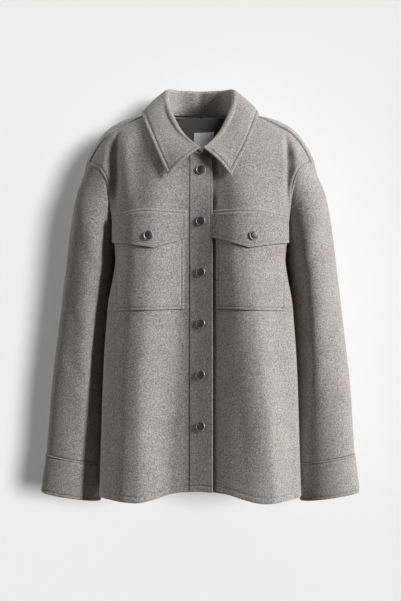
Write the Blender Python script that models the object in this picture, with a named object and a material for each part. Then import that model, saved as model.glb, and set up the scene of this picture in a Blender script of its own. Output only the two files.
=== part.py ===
"""Oversized wool shirt jacket, filled out with no wearer.

Metres, +Z up, the front faces -Y. The origin is in the middle of the neck, level with the shoulders.
Every panel is a sheet lofted through sections, and each piece that lies on a panel uses its points.
"""
import math

import bmesh
import bpy
from mathutils import Matrix, Vector
from mathutils.bvhtree import BVHTree

# Cloth and seam sizes
CLOTH = 0.0022
COLLAR_CLOTH = 0.0026
CUFF_CLOTH = 0.0032
BAND_CLOTH = 0.0028
POCKET_CLOTH = 0.0018
FLAP_CLOTH = 0.0024
FACING_CLOTH = 0.0010
LABEL_CLOTH = 0.0010
SEAM_GAP = 0.0004
REST_GAP = 0.0006
FACING_GAP = 0.0020
POCKET_GAP = 0.0014
FLAP_GAP = 0.0010

# Rows of a body panel: hem, underarm, neck and shoulder
ARM_ROW = 12
FRONT_NECK_ROW = 18
BACK_NECK_ROW = 19
TOP_ROW = 24
# Away from the neck edge, rows are averaged over some rows, so that its corner leaves no crease
NECK_EASE = 3.2
EASE_STEPS = ((-1.0, 0.125), (-0.5, 0.25), (0.0, 0.25), (0.5, 0.25), (1.0, 0.125))
COLUMNS = (0.0, 0.12, 0.24, 0.36, 0.47, 0.57, 0.66, 0.73, 0.79, 0.85, 0.90, 0.95, 1.0)
SLEEVE_SIDES = 24
SLEEVE_ROWS = 20

# Centre front: the band laps from one side to the other
BAND_INNER = 0.0193
BAND_FREE = 0.0212
BAND_PROUD = 0.0008
BAND_NECK_DROP = 0.0030
CHEST_Z = -0.270
UNDERLAP = 0.0160

# Side seam: height, half width
SIDE_SEAM = (
    (-0.692, 0.1755),
    (-0.600, 0.1725),
    (-0.456, 0.1675),
    (-0.325, 0.1580),
    (-0.268, 0.1550),
)
# Front edge beside the sleeve: how far it stands out past the side seam
EDGE_FULLNESS = 0.0180
# Centre front and centre back: height, depth
FRONT_DEPTH = (
    (-0.681, -0.1200),
    (-0.450, -0.1170),
    (-0.270, -0.1130),
    (-0.150, -0.1080),
    (-0.079, -0.0940),
)
BACK_DEPTH = (
    (-0.700, 0.1160),
    (-0.450, 0.1130),
    (-0.270, 0.1120),
    (-0.130, 0.1040),
    (-0.050, 0.0860),
    (0.004, 0.0660),
)
# Hem: share of the half width, height
FRONT_HEM = (
    (0.0, -0.681),
    (0.27, -0.685),
    (0.45, -0.694),
    (0.62, -0.700),
    (0.80, -0.699),
    (0.93, -0.696),
    (1.0, -0.692),
)
BACK_HEM = ((0.0, -0.703), (0.5, -0.706), (0.8, -0.701), (1.0, -0.692))

# Neck seam, collar fold and collar edge from centre back to centre front: step, x, y, z
NECK = (
    (0.0, 0.0, 0.0660, 0.0040),
    (0.25, 0.0470, 0.0540, 0.0050),
    (0.5, 0.0790, -0.0120, 0.0030),
    (0.75, 0.0560, -0.0660, -0.0400),
    (1.0, 0.0, -0.0940, -0.0790),
    (1.2, -0.0300, -0.0945, -0.0820),
)
FOLD = (
    (0.0, 0.0, 0.0620, 0.0530),
    (0.25, 0.0430, 0.0500, 0.0535),
    (0.42, 0.0625, 0.0200, 0.0505),
    (0.55, 0.0630, -0.0100, 0.0300),
    (0.7, 0.0520, -0.0450, -0.0020),
    (0.85, 0.0300, -0.0780, -0.0420),
    (1.0, 0.0020, -0.1030, -0.0696),
)
COLLAR_EDGE = (
    (0.0, 0.0, 0.0900, -0.0080),
    (0.25, 0.0680, 0.0770, -0.0050),
    (0.35, 0.0930, 0.0500, 0.0050),
    (0.45, 0.1060, 0.0100, 0.0066),
    (0.55, 0.1065, -0.0240, -0.0045),
    (0.75, 0.0850, -0.0840, -0.0595),
    (1.0, 0.0563, -0.1150, -0.1203),
)
FOLD_RADIUS = 0.0065
COLLAR_BULGE = 0.0050
# The front ends lean: the fold to one side, the tips to the other
COLLAR_LEAN = 0.0020
COLLAR_LIFT = 0.0024
COLLAR_BACK_STEPS = 8
COLLAR_FRONT_STEPS = 6

# Armhole seam: share of the way round from the underarm by the front, x, y, z
ARMHOLE = (
    (-0.125, 0.1590, 0.0600, -0.2220),
    (0.0, 0.1550, 0.0000, -0.2680),
    (0.16, 0.1570, -0.0600, -0.2150),
    (0.30, 0.1570, -0.0800, -0.1450),
    (0.40, 0.1800, -0.0655, -0.1085),
    (0.50, 0.2020, -0.0340, -0.0910),
    (0.58, 0.2110, 0.0120, -0.0842),
    (0.66, 0.1975, 0.0570, -0.0975),
    (0.75, 0.1690, 0.0815, -0.1480),
    (0.875, 0.1590, 0.0600, -0.2220),
    (1.0, 0.1550, 0.0000, -0.2680),
    (1.16, 0.1570, -0.0600, -0.2150),
)
# Shoulder seam and the crest behind it: share of the length, rise over a straight line
SHOULDER_SEAM = (
    (0.0, 0.0),
    (0.14, 0.0090),
    (0.27, 0.0162),
    (0.43, 0.0222),
    (0.58, 0.0262),
    (0.70, 0.0286),
    (0.79, 0.0258),
    (0.87, 0.0206),
    (0.96, 0.0085),
    (1.0, 0.0),
)
SHOULDER_CREST = (
    (0.0, 0.0),
    (0.18, 0.0110),
    (0.36, 0.0275),
    (0.50, 0.0352),
    (0.62, 0.0382),
    (0.70, 0.0382),
    (0.79, 0.0348),
    (0.84, 0.0298),
    (0.89, 0.0232),
    (0.94, 0.0152),
    (1.0, 0.0),
)
CREST_ROW = 22.08

# Waves across both fronts: height, then x of the right ridge, of the valley and of the left ridge,
# and how far each of them stands out
FRONT_WAVES = (
    (-0.690, -0.114, -0.050, 0.126, 0.0120, -0.0110, 0.0270),
    (-0.570, -0.114, -0.045, 0.118, 0.0120, -0.0135, 0.0315),
    (-0.465, -0.112, -0.037, 0.104, 0.0115, -0.0135, 0.0285),
    (-0.360, -0.104, -0.029, 0.090, 0.0115, -0.0120, 0.0240),
    (-0.270, -0.097, -0.025, 0.079, 0.0110, -0.0105, 0.0190),
    (-0.160, -0.095, -0.021, 0.082, 0.0095, -0.0085, 0.0125),
)
WAVE_FLANK = 0.024
WAVE_EASE = 0.25
WAVE_TOP = (-0.230, -0.060)
ARM_FOLD_X = 0.1520
ARM_FOLD_DEPTH = 0.0220

# Sleeve sections: step, inner x, outer x, inner z, outer z, middle y, half depth
SLEEVE = (
    (0.20, 0.1615, 0.2265, -0.300, -0.140, 0.004, 0.0770),
    (0.34, 0.1650, 0.2395, -0.345, -0.205, 0.008, 0.0760),
    (0.48, 0.1700, 0.2500, -0.405, -0.290, 0.010, 0.0720),
    (0.64, 0.1750, 0.2620, -0.475, -0.390, 0.010, 0.0670),
    (0.80, 0.1790, 0.2755, -0.550, -0.500, 0.008, 0.0590),
    (0.91, 0.1812, 0.2810, -0.602, -0.573, 0.006, 0.0530),
    (1.00, 0.1825, 0.2850, -0.640, -0.6235, 0.005, 0.0490),
)
# The left sleeve hangs a little fuller
LEFT_SLEEVE_EASE = 0.0030
# Cuff sections: step, inner x, outer x, inner z, outer z, middle y, half depth
CUFF = (
    (0.0, 0.1820, 0.2858, -0.6404, -0.6239, 0.005, 0.0498),
    (0.5, 0.1835, 0.2905, -0.6750, -0.6590, 0.004, 0.0485),
    (1.0, 0.1845, 0.2945, -0.7110, -0.6950, 0.003, 0.0470),
)

# Pockets and flaps on the +X front: share across, x, z
POCKET_IN = 0.0291
POCKET_OUT = 0.1510
POCKET_MOUTH_DROP = 0.0160
POCKET_BOTTOM = ((0.0, -0.3575), (1.0, -0.3610))
FLAP_IN = 0.0242
FLAP_OUT = 0.1535
FLAP_TOP = ((0.0, -0.1812), (0.58, -0.1793), (1.0, -0.1870))
FLAP_BOTTOM = ((0.0, -0.2307), (0.466, -0.2492), (1.0, -0.2382))

# Snaps: profile of radius and height, and where they sit
SNAP_PROFILE = (
    (0.0, 0.0),
    (0.0084, 0.0),
    (0.0086, 0.0012),
    (0.0074, 0.0026),
    (0.0060, 0.0021),
    (0.0050, 0.0028),
    (0.0, 0.0034),
)
SNAP_SIDES = 16
SNAP_X = 0.0008
SNAP_TOP = -0.1090
SNAP_STEP = -0.0913
SNAP_COUNT = 6
FLAP_SNAP_X = 0.0920
FLAP_SNAP_Z = -0.2268

LABEL_X = 0.0065
LABEL_HALF_WIDTH = 0.0195
LABEL_TOP = -0.0260
LABEL_LENGTH = 0.0400

COLLECTION_NAME = "oversized_jacket"
COLOURS = {
    "wool": (0.30, 0.285, 0.265, 1.0),
    "facing": (0.055, 0.053, 0.053, 1.0),
    "label": (0.62, 0.60, 0.56, 1.0),
    "snap_metal": (0.30, 0.30, 0.31, 1.0),
}


def at(table, step):
    """Smooth values at a step of a table whose rows start with the step."""
    k = 0
    while k < len(table) - 2 and step > table[k + 1][0]:
        k += 1
    start = table[k]
    end = table[k + 1]
    before = table[max(k - 1, 0)]
    after = table[min(k + 2, len(table) - 1)]
    span = end[0] - start[0]
    share = (step - start[0]) / span
    inside = min(max(share, 0.0), 1.0)
    values = []
    for c in range(1, len(start)):
        slope_start = (end[c] - before[c]) / (end[0] - before[0]) * span
        slope_end = (after[c] - start[c]) / (after[0] - start[0]) * span
        rise = end[c] - start[c]
        value = start[c] + inside * slope_start
        value += inside ** 2 * (3.0 * rise - 2.0 * slope_start - slope_end)
        value += inside ** 3 * (slope_start + slope_end - 2.0 * rise)
        value += (share - inside) * (slope_start if share < 0.0 else slope_end)
        values.append(value)
    if len(values) == 1:
        return values[0]
    return Vector(values) if len(values) == 3 else values


def smooth(low, high, value):
    """Soft step from 0 at low to 1 at high."""
    share = min(max((value - low) / (high - low), 0.0), 1.0)
    return share * share * (3.0 - 2.0 * share)


def bump(value, middle, width):
    """Soft hill of height 1."""
    return math.exp(-((value - middle) / width) ** 2)


def signed_power(value, power):
    """Power that keeps the sign."""
    return math.copysign(abs(value) ** power, value)


def across(u, fullness):
    """Share across and share of depth left, on a rounded quarter section."""
    angle = math.pi / 2.0 * signed_power(u, max(1.5, 0.47 * fullness))
    power = 2.0 / fullness
    return signed_power(math.sin(angle), power), signed_power(math.cos(angle), power)


def neck(t):
    """Point on the +X half of the neck seam."""
    return at(NECK, t)


def front_neck_start(inner_x):
    """Step of the neck seam at a panel's centre edge."""
    low, high = 0.75, 1.2
    for _ in range(40):
        middle = (low + high) / 2.0
        if neck(middle).x > inner_x:
            low = middle
        else:
            high = middle
    return low


def side_point(v):
    """Side seam point of a row below the underarm."""
    z = SIDE_SEAM[0][0] + (SIDE_SEAM[-1][0] - SIDE_SEAM[0][0]) * v / ARM_ROW
    return Vector((at(SIDE_SEAM, z), 0.0, z))


def ramp(low, high, value):
    """Rise from 0 at low to 1 at high that is straight but for its eased ends."""
    share = min(max((value - low) / (high - low), 0.0), 1.0)
    from_end = min(share, 1.0 - share)
    if from_end < WAVE_EASE:
        height = from_end ** 2 / (2.0 * WAVE_EASE * (1.0 - WAVE_EASE))
    else:
        height = (from_end - WAVE_EASE / 2.0) / (1.0 - WAVE_EASE)
    return height if share < 0.5 else 1.0 - height


def front_wave(x, z):
    """How far the waves of the fronts stand out: zero at both sides and near the neck."""
    right, valley, left, right_out, valley_out, left_out = at(FRONT_WAVES, z)
    edge = at(SIDE_SEAM, min(z, SIDE_SEAM[-1][0]))
    out = right_out * smooth(-edge, WAVE_FLANK - edge, x)
    out += (valley_out - right_out) * smooth(right, valley, x)
    out += (left_out - valley_out) * ramp(valley, left, x)
    out -= left_out * smooth(left, edge, x)
    return out * (1.0 - smooth(*WAVE_TOP, z))


def centre_line(v, ends, depths, start, neck_row):
    """Centre edge of a panel up to the neck, then the neck seam up to the shoulder."""
    inner_x, hem_z, neck_z = ends
    if v > neck_row:
        return neck(start + (0.5 - start) * (v - neck_row) / (TOP_ROW - neck_row))
    if v <= ARM_ROW:
        z = hem_z + (CHEST_Z - hem_z) * v / ARM_ROW
    else:
        z = CHEST_Z + (neck_z - CHEST_Z) * (v - ARM_ROW) / (neck_row - ARM_ROW)
    return Vector((inner_x, at(depths, z), z))


def eased_line(v, share, *panel):
    """The centre line as a panel's rows see it: eased over more rows away from the neck."""
    reach = min(NECK_EASE * smooth(0.0, 0.5, abs(share)), TOP_ROW - v)
    total = Vector()
    for step, weight in EASE_STEPS:
        total += weight * centre_line(v + reach * step, *panel)
    return total


def front_point(u, v, inner_x, side):
    """Outer face of a front, drawn on the +X side: u from centre to side, v from hem to shoulder."""
    start = front_neck_start(inner_x)
    share, depth = across(u, 4.6 - 2.6 * smooth(12.0, 22.0, v))
    ends = (inner_x, FRONT_HEM[0][1], neck(start).z)
    inner = eased_line(v, share, ends, FRONT_DEPTH, start, FRONT_NECK_ROW)
    if v <= ARM_ROW:
        outer = side_point(v)
    else:
        outer = at(ARMHOLE, 0.5 * (v - ARM_ROW) / (TOP_ROW - ARM_ROW))
    x = inner.x + (outer.x - inner.x) * share
    y = outer.y + (inner.y - outer.y) * depth
    z = inner.z + (outer.z - inner.z) * share
    body_share = max(x, 0.0) / outer.x
    hem_fade = 1.0 - smooth(0.0, 7.0, v)
    straight = FRONT_HEM[0][1] + (FRONT_HEM[-1][1] - FRONT_HEM[0][1]) * share
    z += (at(FRONT_HEM, body_share) - straight) * hem_fade
    z += at(SHOULDER_SEAM, share) * smooth(17.0, 24.0, v)
    x += EDGE_FULLNESS * (1.0 - abs(u) ** 8) * bump(u, 0.90, 0.14) * (1.0 - smooth(9.5, 12.3, v))
    # Chest fullness, the waves and the fold beside the armhole
    edge_fade = 1.0 - (1.0 - smooth(0.0, 0.3, share)) * smooth(16.5, 18.0, v)
    full = math.sin(math.pi * min(body_share, 1.0)) ** 2 * edge_fade
    y -= 0.012 * math.sin(math.pi * smooth(13.0, 24.0, v)) * full
    y -= front_wave(side * x, z)
    arm_fold = smooth(ARM_FOLD_X - 0.003, ARM_FOLD_X + 0.006, x) * bump(x, ARM_FOLD_X, 0.022)
    arm_fold *= smooth(17.8, 19.5, v) * (1.0 - smooth(21.5, 23.6, v))
    y += ARM_FOLD_DEPTH * arm_fold * (1.0 - abs(share) ** 8)
    # The under front is set in below the band
    if inner_x < 0.0:
        y += (BAND_CLOTH + REST_GAP) * (1.0 - smooth(BAND_FREE + 0.002, BAND_FREE + 0.042, x))
    return Vector((side * x, y - SEAM_GAP / 2.0, z))


def back_point(u, v, side):
    """Outer face of the back, drawn on the +X side."""
    share, depth = across(u, 3.0 - 1.0 * smooth(14.0, 23.0, v))
    ends = (0.0, BACK_HEM[0][1], NECK[0][3])
    inner = eased_line(v, share, ends, BACK_DEPTH, 0.0, BACK_NECK_ROW)
    if v <= ARM_ROW:
        outer = side_point(v)
    else:
        outer = at(ARMHOLE, 1.0 - 0.5 * (v - ARM_ROW) / (TOP_ROW - ARM_ROW))
    x = inner.x + (outer.x - inner.x) * share
    y = outer.y + (inner.y - outer.y) * depth
    z = inner.z + (outer.z - inner.z) * share
    hem_fade = 1.0 - smooth(0.0, 7.0, v)
    straight = BACK_HEM[0][1] + (BACK_HEM[-1][1] - BACK_HEM[0][1]) * share
    z += (at(BACK_HEM, abs(share)) - straight) * hem_fade
    level = min(abs(share), 1.0)
    past_crest = min(max((v - CREST_ROW) / (TOP_ROW - CREST_ROW), 0.0), 1.0) ** 2
    z += at(SHOULDER_CREST, level) * smooth(17.5, CREST_ROW, v) * (1.0 - past_crest)
    z += at(SHOULDER_SEAM, level) * past_crest
    y += 0.010 * math.sin(math.pi * smooth(13.0, 24.0, v)) * math.sin(math.pi * level)
    # Soft hanging folds of the back
    hang = 1.0 - smooth(2.0, 14.0, v)
    y += 0.013 * hang * bump(level, 0.56, 0.22) * (1.0 - level ** 6)
    y -= 0.004 * hang * bump(level, 0.0, 0.25)
    return Vector((side * x, y + SEAM_GAP / 2.0, z))


def sleeve_frame(phi, step, table, extra=0.0):
    """Point of a sleeve or cuff section, with extra width on its outer side."""
    inner_x, outer_x, inner_z, outer_z, middle_y, half_depth = at(table, step)
    outer_x += extra
    reach = (1.0 - math.cos(2.0 * math.pi * phi)) / 2.0
    x = inner_x + (outer_x - inner_x) * reach
    y = middle_y - half_depth * signed_power(math.sin(2.0 * math.pi * phi), 0.85)
    z = inner_z + (outer_z - inner_z) * reach
    return Vector((x, y, z))


def sleeve_point(phi, step, side):
    """Outer face of the sleeve from the armhole seam, step 0, to the cuff seam, step 1."""
    rows = [(0.0, *at(ARMHOLE, phi))]
    for row in SLEEVE:
        extra = LEFT_SLEEVE_EASE * math.sin(math.pi * row[0]) if side > 0 else 0.0
        rows.append((row[0], *sleeve_frame(phi, row[0], SLEEVE, extra)))
    point = at(rows, step)
    # Soft elbow folds and a long hanging fold
    bend = bump(step, 0.52, 0.10) - 0.8 * bump(step, 0.62, 0.07) + 0.6 * bump(step, 0.74, 0.07)
    facing = math.sin(2.0 * math.pi * phi)
    point.y -= 0.0035 * bend * facing
    return Vector((side * point.x, point.y, point.z))


def normal_of(surface, u, v, turn):
    """Unit normal of a surface by small differences, turned by 1 or -1."""
    h = 0.004
    along_u = surface(u + h, v) - surface(u - h, v)
    along_v = surface(u, v + h) - surface(u, v - h)
    return (along_u.cross(along_v) * turn).normalized()


def clear_scene():
    """Remove what the file starts with."""
    for item in list(bpy.data.objects):
        bpy.data.objects.remove(item)
    collection = bpy.data.collections.new(COLLECTION_NAME)
    bpy.context.scene.collection.children.link(collection)
    return collection


def material_for(node, kind):
    """A node's own plain material."""
    material = bpy.data.materials.new(node)
    material.use_nodes = True
    shader = material.node_tree.nodes["Principled BSDF"]
    shader.inputs["Base Color"].default_value = COLOURS[kind]
    shader.inputs["Roughness"].default_value = 0.35 if kind == "snap_metal" else 0.9
    shader.inputs["Metallic"].default_value = 1.0 if kind == "snap_metal" else 0.0
    return material


def finish(mesh_builder, node, kind, collection):
    """Turn a bmesh into a named object."""
    bmesh.ops.recalc_face_normals(mesh_builder, faces=mesh_builder.faces)
    mesh = bpy.data.meshes.new(node)
    mesh_builder.to_mesh(mesh)
    mesh_builder.free()
    for polygon in mesh.polygons:
        polygon.use_smooth = True
    item = bpy.data.objects.new(node, mesh)
    item.data.materials.append(material_for(node, kind))
    collection.objects.link(item)
    return item


def shell(node, outer, inner, kind, collection, wrap=False):
    """Closed sheet between two grids of points, columns first."""
    builder = bmesh.new()
    columns = len(outer)
    rows = len(outer[0])
    skins = []
    for grid in (outer, inner):
        skins.append([[builder.verts.new(point) for point in column] for column in grid])
    spans = range(columns) if wrap else range(columns - 1)
    for skin in skins:
        for i in spans:
            k = (i + 1) % columns
            for j in range(rows - 1):
                builder.faces.new((skin[i][j], skin[k][j], skin[k][j + 1], skin[i][j + 1]))
    top, under = skins
    for i in spans:
        k = (i + 1) % columns
        for j in (0, rows - 1):
            rim(builder, top[i][j], top[k][j], under[k][j], under[i][j])
    if not wrap:
        for i in (0, columns - 1):
            for j in range(rows - 1):
                rim(builder, top[i][j], top[i][j + 1], under[i][j + 1], under[i][j])
    return finish(builder, node, kind, collection)


def rim(builder, top_a, top_b, under_b, under_a):
    """Edge of a sheet in two triangles, split from top_a to under_b, so that both sides of a seam agree."""
    builder.faces.new((top_a, top_b, under_b))
    builder.faces.new((top_a, under_b, under_a))


def panel_tree(grids):
    """Search tree over the outer faces of some panels, facing outward."""
    points = []
    faces = []
    for grid, turn in grids:
        first = len(points)
        rows = len(grid[0])
        for column in grid:
            points.extend(column)
        for i in range(len(grid) - 1):
            for j in range(rows - 1):
                a = first + i * rows + j
                corners = (a, a + rows, a + rows + 1, a + 1)
                faces.append(corners if turn > 0 else corners[::-1])
    return BVHTree.FromPolygons(points, faces)


def push_out(tree, point, lift):
    """Move a point out until it is clear of the panels."""
    for _ in range(4):
        place, normal, _, _ = tree.find_nearest(point)
        height = (point - place).dot(normal)
        if height >= lift:
            break
        point = point + normal * (lift - height)
    return point


def locate(surface, x, z, u_guess=0.5, v_guess=12.0):
    """Panel step at a given x and z."""
    u, v = u_guess, v_guess
    h = 0.01
    for _ in range(30):
        here = surface(u, v)
        along_u = (surface(u + h, v) - surface(u - h, v)) / (2.0 * h)
        along_v = (surface(u, v + h) - surface(u, v - h)) / (2.0 * h)
        area = along_u.x * along_v.z - along_v.x * along_u.z
        if abs(area) < 1e-9:
            break
        off_x = x - here.x
        off_z = z - here.z
        move_u = (off_x * along_v.z - along_v.x * off_z) / area
        move_v = (along_u.x * off_z - off_x * along_u.z) / area
        u = min(max(u + max(min(move_u, 0.12), -0.12), -0.05), 0.99)
        v = min(max(v + max(min(move_v, 1.5), -1.5), 0.0), 24.0)
    return u, v


def main():
    """Build every piece."""
    collection = clear_scene()
    sides = {"right": -1, "left": 1}
    upper_rows = TOP_ROW - ARM_ROW

    def front_surface(side):
        inner_x = BAND_INNER if side < 0 else -UNDERLAP
        return lambda u, v: front_point(u, v, inner_x, side)

    def back_surface(side):
        return lambda u, v: back_point(u, v, side)

    def sleeve_surface(side):
        return lambda phi, step: sleeve_point(phi, step, side)

    # The armhole seam has one normal that the body and the sleeve share
    arm_normals = {}
    for side in sides.values():
        normals = []
        for k in range(SLEEVE_SIDES):
            phi = k / SLEEVE_SIDES
            if phi <= 0.5:
                row = ARM_ROW + upper_rows * phi / 0.5
                body = normal_of(front_surface(side), 0.985, min(row, TOP_ROW - 0.1), side)
            else:
                row = ARM_ROW + upper_rows * (1.0 - phi) / 0.5
                body = normal_of(back_surface(side), 0.985, row, -side)
            tube = normal_of(sleeve_surface(side), phi, 0.03, -side)
            if phi == 0.0:
                body = Vector((side, 0.0, 0.0))
            normals.append((body + tube).normalized())
        arm_normals[side] = normals

    shoulder_normals = []
    for u in COLUMNS:
        ahead = normal_of(front_surface(1), u, TOP_ROW - 0.5, 1)
        behind = normal_of(back_surface(1), u, TOP_ROW - 0.5, -1)
        shoulder_normals.append((ahead + behind).normalized())

    def mirror_x(vector, side):
        return Vector((side * vector.x, vector.y, vector.z))

    def body_grid(surface, side, is_front):
        """Outer points and normals of one half panel."""
        turn = side if is_front else -side
        points = []
        normals = []
        for i, u in enumerate(COLUMNS):
            column = []
            facing = []
            for j in range(TOP_ROW + 1):
                column.append(surface(u, j))
                if i == len(COLUMNS) - 1 and j >= ARM_ROW:
                    step = j - ARM_ROW
                    k = step if is_front else (SLEEVE_SIDES - step) % SLEEVE_SIDES
                    normal = arm_normals[side][k]
                elif i == len(COLUMNS) - 1:
                    normal = Vector((side, 0.0, 0.0))
                elif j == TOP_ROW:
                    normal = mirror_x(shoulder_normals[i], side)
                else:
                    normal = normal_of(surface, max(u, 0.006), min(max(j, 0.01), TOP_ROW - 0.01), turn)
                if i == 0 and is_front and j <= FRONT_NECK_ROW:
                    normal = Vector((0.0, normal.y, normal.z)).normalized()
                facing.append(normal)
            points.append(column)
            normals.append(facing)
        return points, normals

    def inward(points, normals, thickness):
        return [
            [point - normal * thickness for point, normal in zip(column, facing)]
            for column, facing in zip(points, normals)
        ]

    # Fronts and back
    tree_grids = []
    for name, side in sides.items():
        points, normals = body_grid(front_surface(side), side, True)
        shell("front_" + name, points, inward(points, normals, CLOTH), "wool", collection)
        tree_grids.append((points, side))
    left_points, left_normals = body_grid(back_surface(1), 1, False)
    right_points, right_normals = body_grid(back_surface(-1), -1, False)
    back_points = right_points[:0:-1] + left_points
    back_normals = right_normals[:0:-1] + left_normals
    split = len(right_points) - 1
    for row in range(BACK_NECK_ROW + 1):
        normal = back_normals[split][row]
        back_normals[split][row] = Vector((0.0, normal.y, normal.z)).normalized()
    # Above the neck row the two halves part, so the back is one sheet with a notch
    build_back(back_points, back_normals, right_points, right_normals, split, collection)
    tree_grids.append((left_points, -1))
    tree_grids.append((right_points, 1))

    # Band along the centre edge of the over front
    band_points = []
    band_normals = []
    band_steps = 4
    for i in range(band_steps + 1):
        x = -BAND_INNER + SEAM_GAP + (BAND_FREE + BAND_INNER - SEAM_GAP) * i / band_steps
        column = []
        facing = []
        neck_z = neck(front_neck_start(-x)).z - BAND_NECK_DROP
        hem_z = at(FRONT_HEM, abs(x) / SIDE_SEAM[0][1])
        for j in range(FRONT_NECK_ROW + 1):
            if j <= ARM_ROW:
                z = hem_z + (CHEST_Z - hem_z) * j / ARM_ROW
            else:
                z = CHEST_Z + (neck_z - CHEST_Z) * (j - ARM_ROW) / (FRONT_NECK_ROW - ARM_ROW)
            axis = band_axis(x, z)
            column.append(band_point(x, z) + axis * BAND_PROUD)
            facing.append(axis)
        band_points.append(column)
        band_normals.append(facing)
    shell("button_band", band_points, inward(band_points, band_normals, BAND_CLOTH), "wool", collection)
    tree_grids.append((band_points, 1))
    tree = panel_tree(tree_grids)

    # Sleeves and cuffs
    for name, side in sides.items():
        surface = sleeve_surface(side)
        points = []
        normals = []
        for k in range(SLEEVE_SIDES):
            phi = k / SLEEVE_SIDES
            column = []
            facing = []
            for j in range(SLEEVE_ROWS + 1):
                step = j / SLEEVE_ROWS
                point = surface(phi, step)
                if j == 0:
                    normal = arm_normals[side][k]
                    tangent = surface(phi + 0.01, 0.0) - surface(phi - 0.01, 0.0)
                    away = tangent.cross(normal).normalized() * side
                    point = point + away * SEAM_GAP
                else:
                    normal = normal_of(surface, phi, min(step, 0.995), -side)
                column.append(point)
                facing.append(normal)
            points.append(column)
            normals.append(facing)
        shell("sleeve_" + name, points, inward(points, normals, CLOTH), "wool", collection, wrap=True)

        def cuff_surface(phi, step):
            return mirror_x(sleeve_frame(phi, step, CUFF), side)

        points = []
        normals = []
        for k in range(SLEEVE_SIDES):
            phi = k / SLEEVE_SIDES
            column = []
            facing = []
            for j in range(5):
                step = j / 4
                column.append(cuff_surface(phi, step))
                facing.append(normal_of(cuff_surface, phi, min(max(step, 0.01), 0.99), -side))
            points.append(column)
            normals.append(facing)
        shell("cuff_" + name, points, inward(points, normals, CUFF_CLOTH), "wool", collection, wrap=True)

    # Collar
    build_collar(tree, collection)

    # Pockets and flaps
    for name, side in sides.items():
        build_pocket(name, side, front_surface(side), collection)
        build_flap(name, side, front_surface(side), collection)

    # Facing and label inside the back neck
    for name, side in sides.items():
        build_facing(name, side, back_surface(side), collection)
    build_label(back_surface(1), back_surface(-1), collection)

    # Snaps
    for k in range(SNAP_COUNT):
        z = SNAP_TOP + SNAP_STEP * k
        axis = band_axis(SNAP_X, z)
        place = band_point(SNAP_X, z) + axis * (BAND_PROUD + SEAM_GAP)
        build_snap("snap_%d" % (k + 1), place, axis, collection)
    for name, side in sides.items():
        surface = front_surface(side)
        u, v = locate(surface, side * FLAP_SNAP_X, FLAP_SNAP_Z)
        axis = normal_of(surface, u, v, side)
        lift = POCKET_GAP + POCKET_CLOTH + FLAP_GAP + FLAP_CLOTH + SEAM_GAP
        build_snap("flap_snap_" + name, surface(u, v) + axis * lift, axis, collection)


def band_point(x, z):
    """Over front's centre edge at a height, carried on across the band."""
    if z <= CHEST_Z:
        row = ARM_ROW * (z - FRONT_HEM[0][1]) / (CHEST_Z - FRONT_HEM[0][1])
    else:
        neck_z = neck(front_neck_start(BAND_INNER)).z
        row = ARM_ROW + (FRONT_NECK_ROW - ARM_ROW) * (z - CHEST_Z) / (neck_z - CHEST_Z)
    row = min(max(row, 0.0), FRONT_NECK_ROW)
    seam_y = front_point(0.0, row, BAND_INNER, -1).y
    return Vector((x, seam_y + front_wave(-BAND_INNER, z) - front_wave(x, z), z))


def band_axis(x, z):
    """Outward direction of the band."""
    h = 0.004
    along = band_point(x + h, z) - band_point(x - h, z)
    return along.cross(band_point(x, z + h) - band_point(x, z - h)).normalized()


def build_back(points, normals, right_points, right_normals, split, collection):
    """The back in one sheet: the neck edge opens above the neck row."""
    builder = bmesh.new()
    rows = TOP_ROW + 1
    columns = len(points)
    skins = []
    for thickness in (0.0, CLOTH):
        skin = []
        for i in range(columns):
            skin.append([builder.verts.new(points[i][j] - normals[i][j] * thickness) for j in range(rows)])
        extra = {}
        for j in range(BACK_NECK_ROW + 1, rows):
            extra[j] = builder.verts.new(right_points[0][j] - right_normals[0][j] * thickness)
        skins.append((skin, extra))

    def vertex(level, i, j, from_right):
        skin, extra = skins[level]
        if i == split and from_right and j in extra:
            return extra[j]
        return skin[i][j]

    for level in (0, 1):
        for i in range(columns - 1):
            on_right = i < split
            for j in range(rows - 1):
                corners = ((i, j), (i + 1, j), (i + 1, j + 1), (i, j + 1))
                builder.faces.new([vertex(level, a, b, on_right) for a, b in corners])

    def edge(first, second, on_right):
        rim(
            builder, vertex(0, *first, on_right), vertex(0, *second, on_right),
            vertex(1, *second, on_right), vertex(1, *first, on_right),
        )

    for i in range(columns - 1):
        on_right = i < split
        ends = (i + 1, i) if on_right else (i, i + 1)
        edge((ends[0], 0), (ends[1], 0), on_right)
        edge((ends[0], rows - 1), (ends[1], rows - 1), on_right)
    for j in range(rows - 1):
        edge((0, j + 1), (0, j), True)
        edge((columns - 1, j + 1), (columns - 1, j), False)
        if j >= BACK_NECK_ROW:
            edge((split, j), (split, j + 1), True)
            edge((split, j), (split, j + 1), False)
    finish(builder, "back", "wool", collection)


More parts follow.
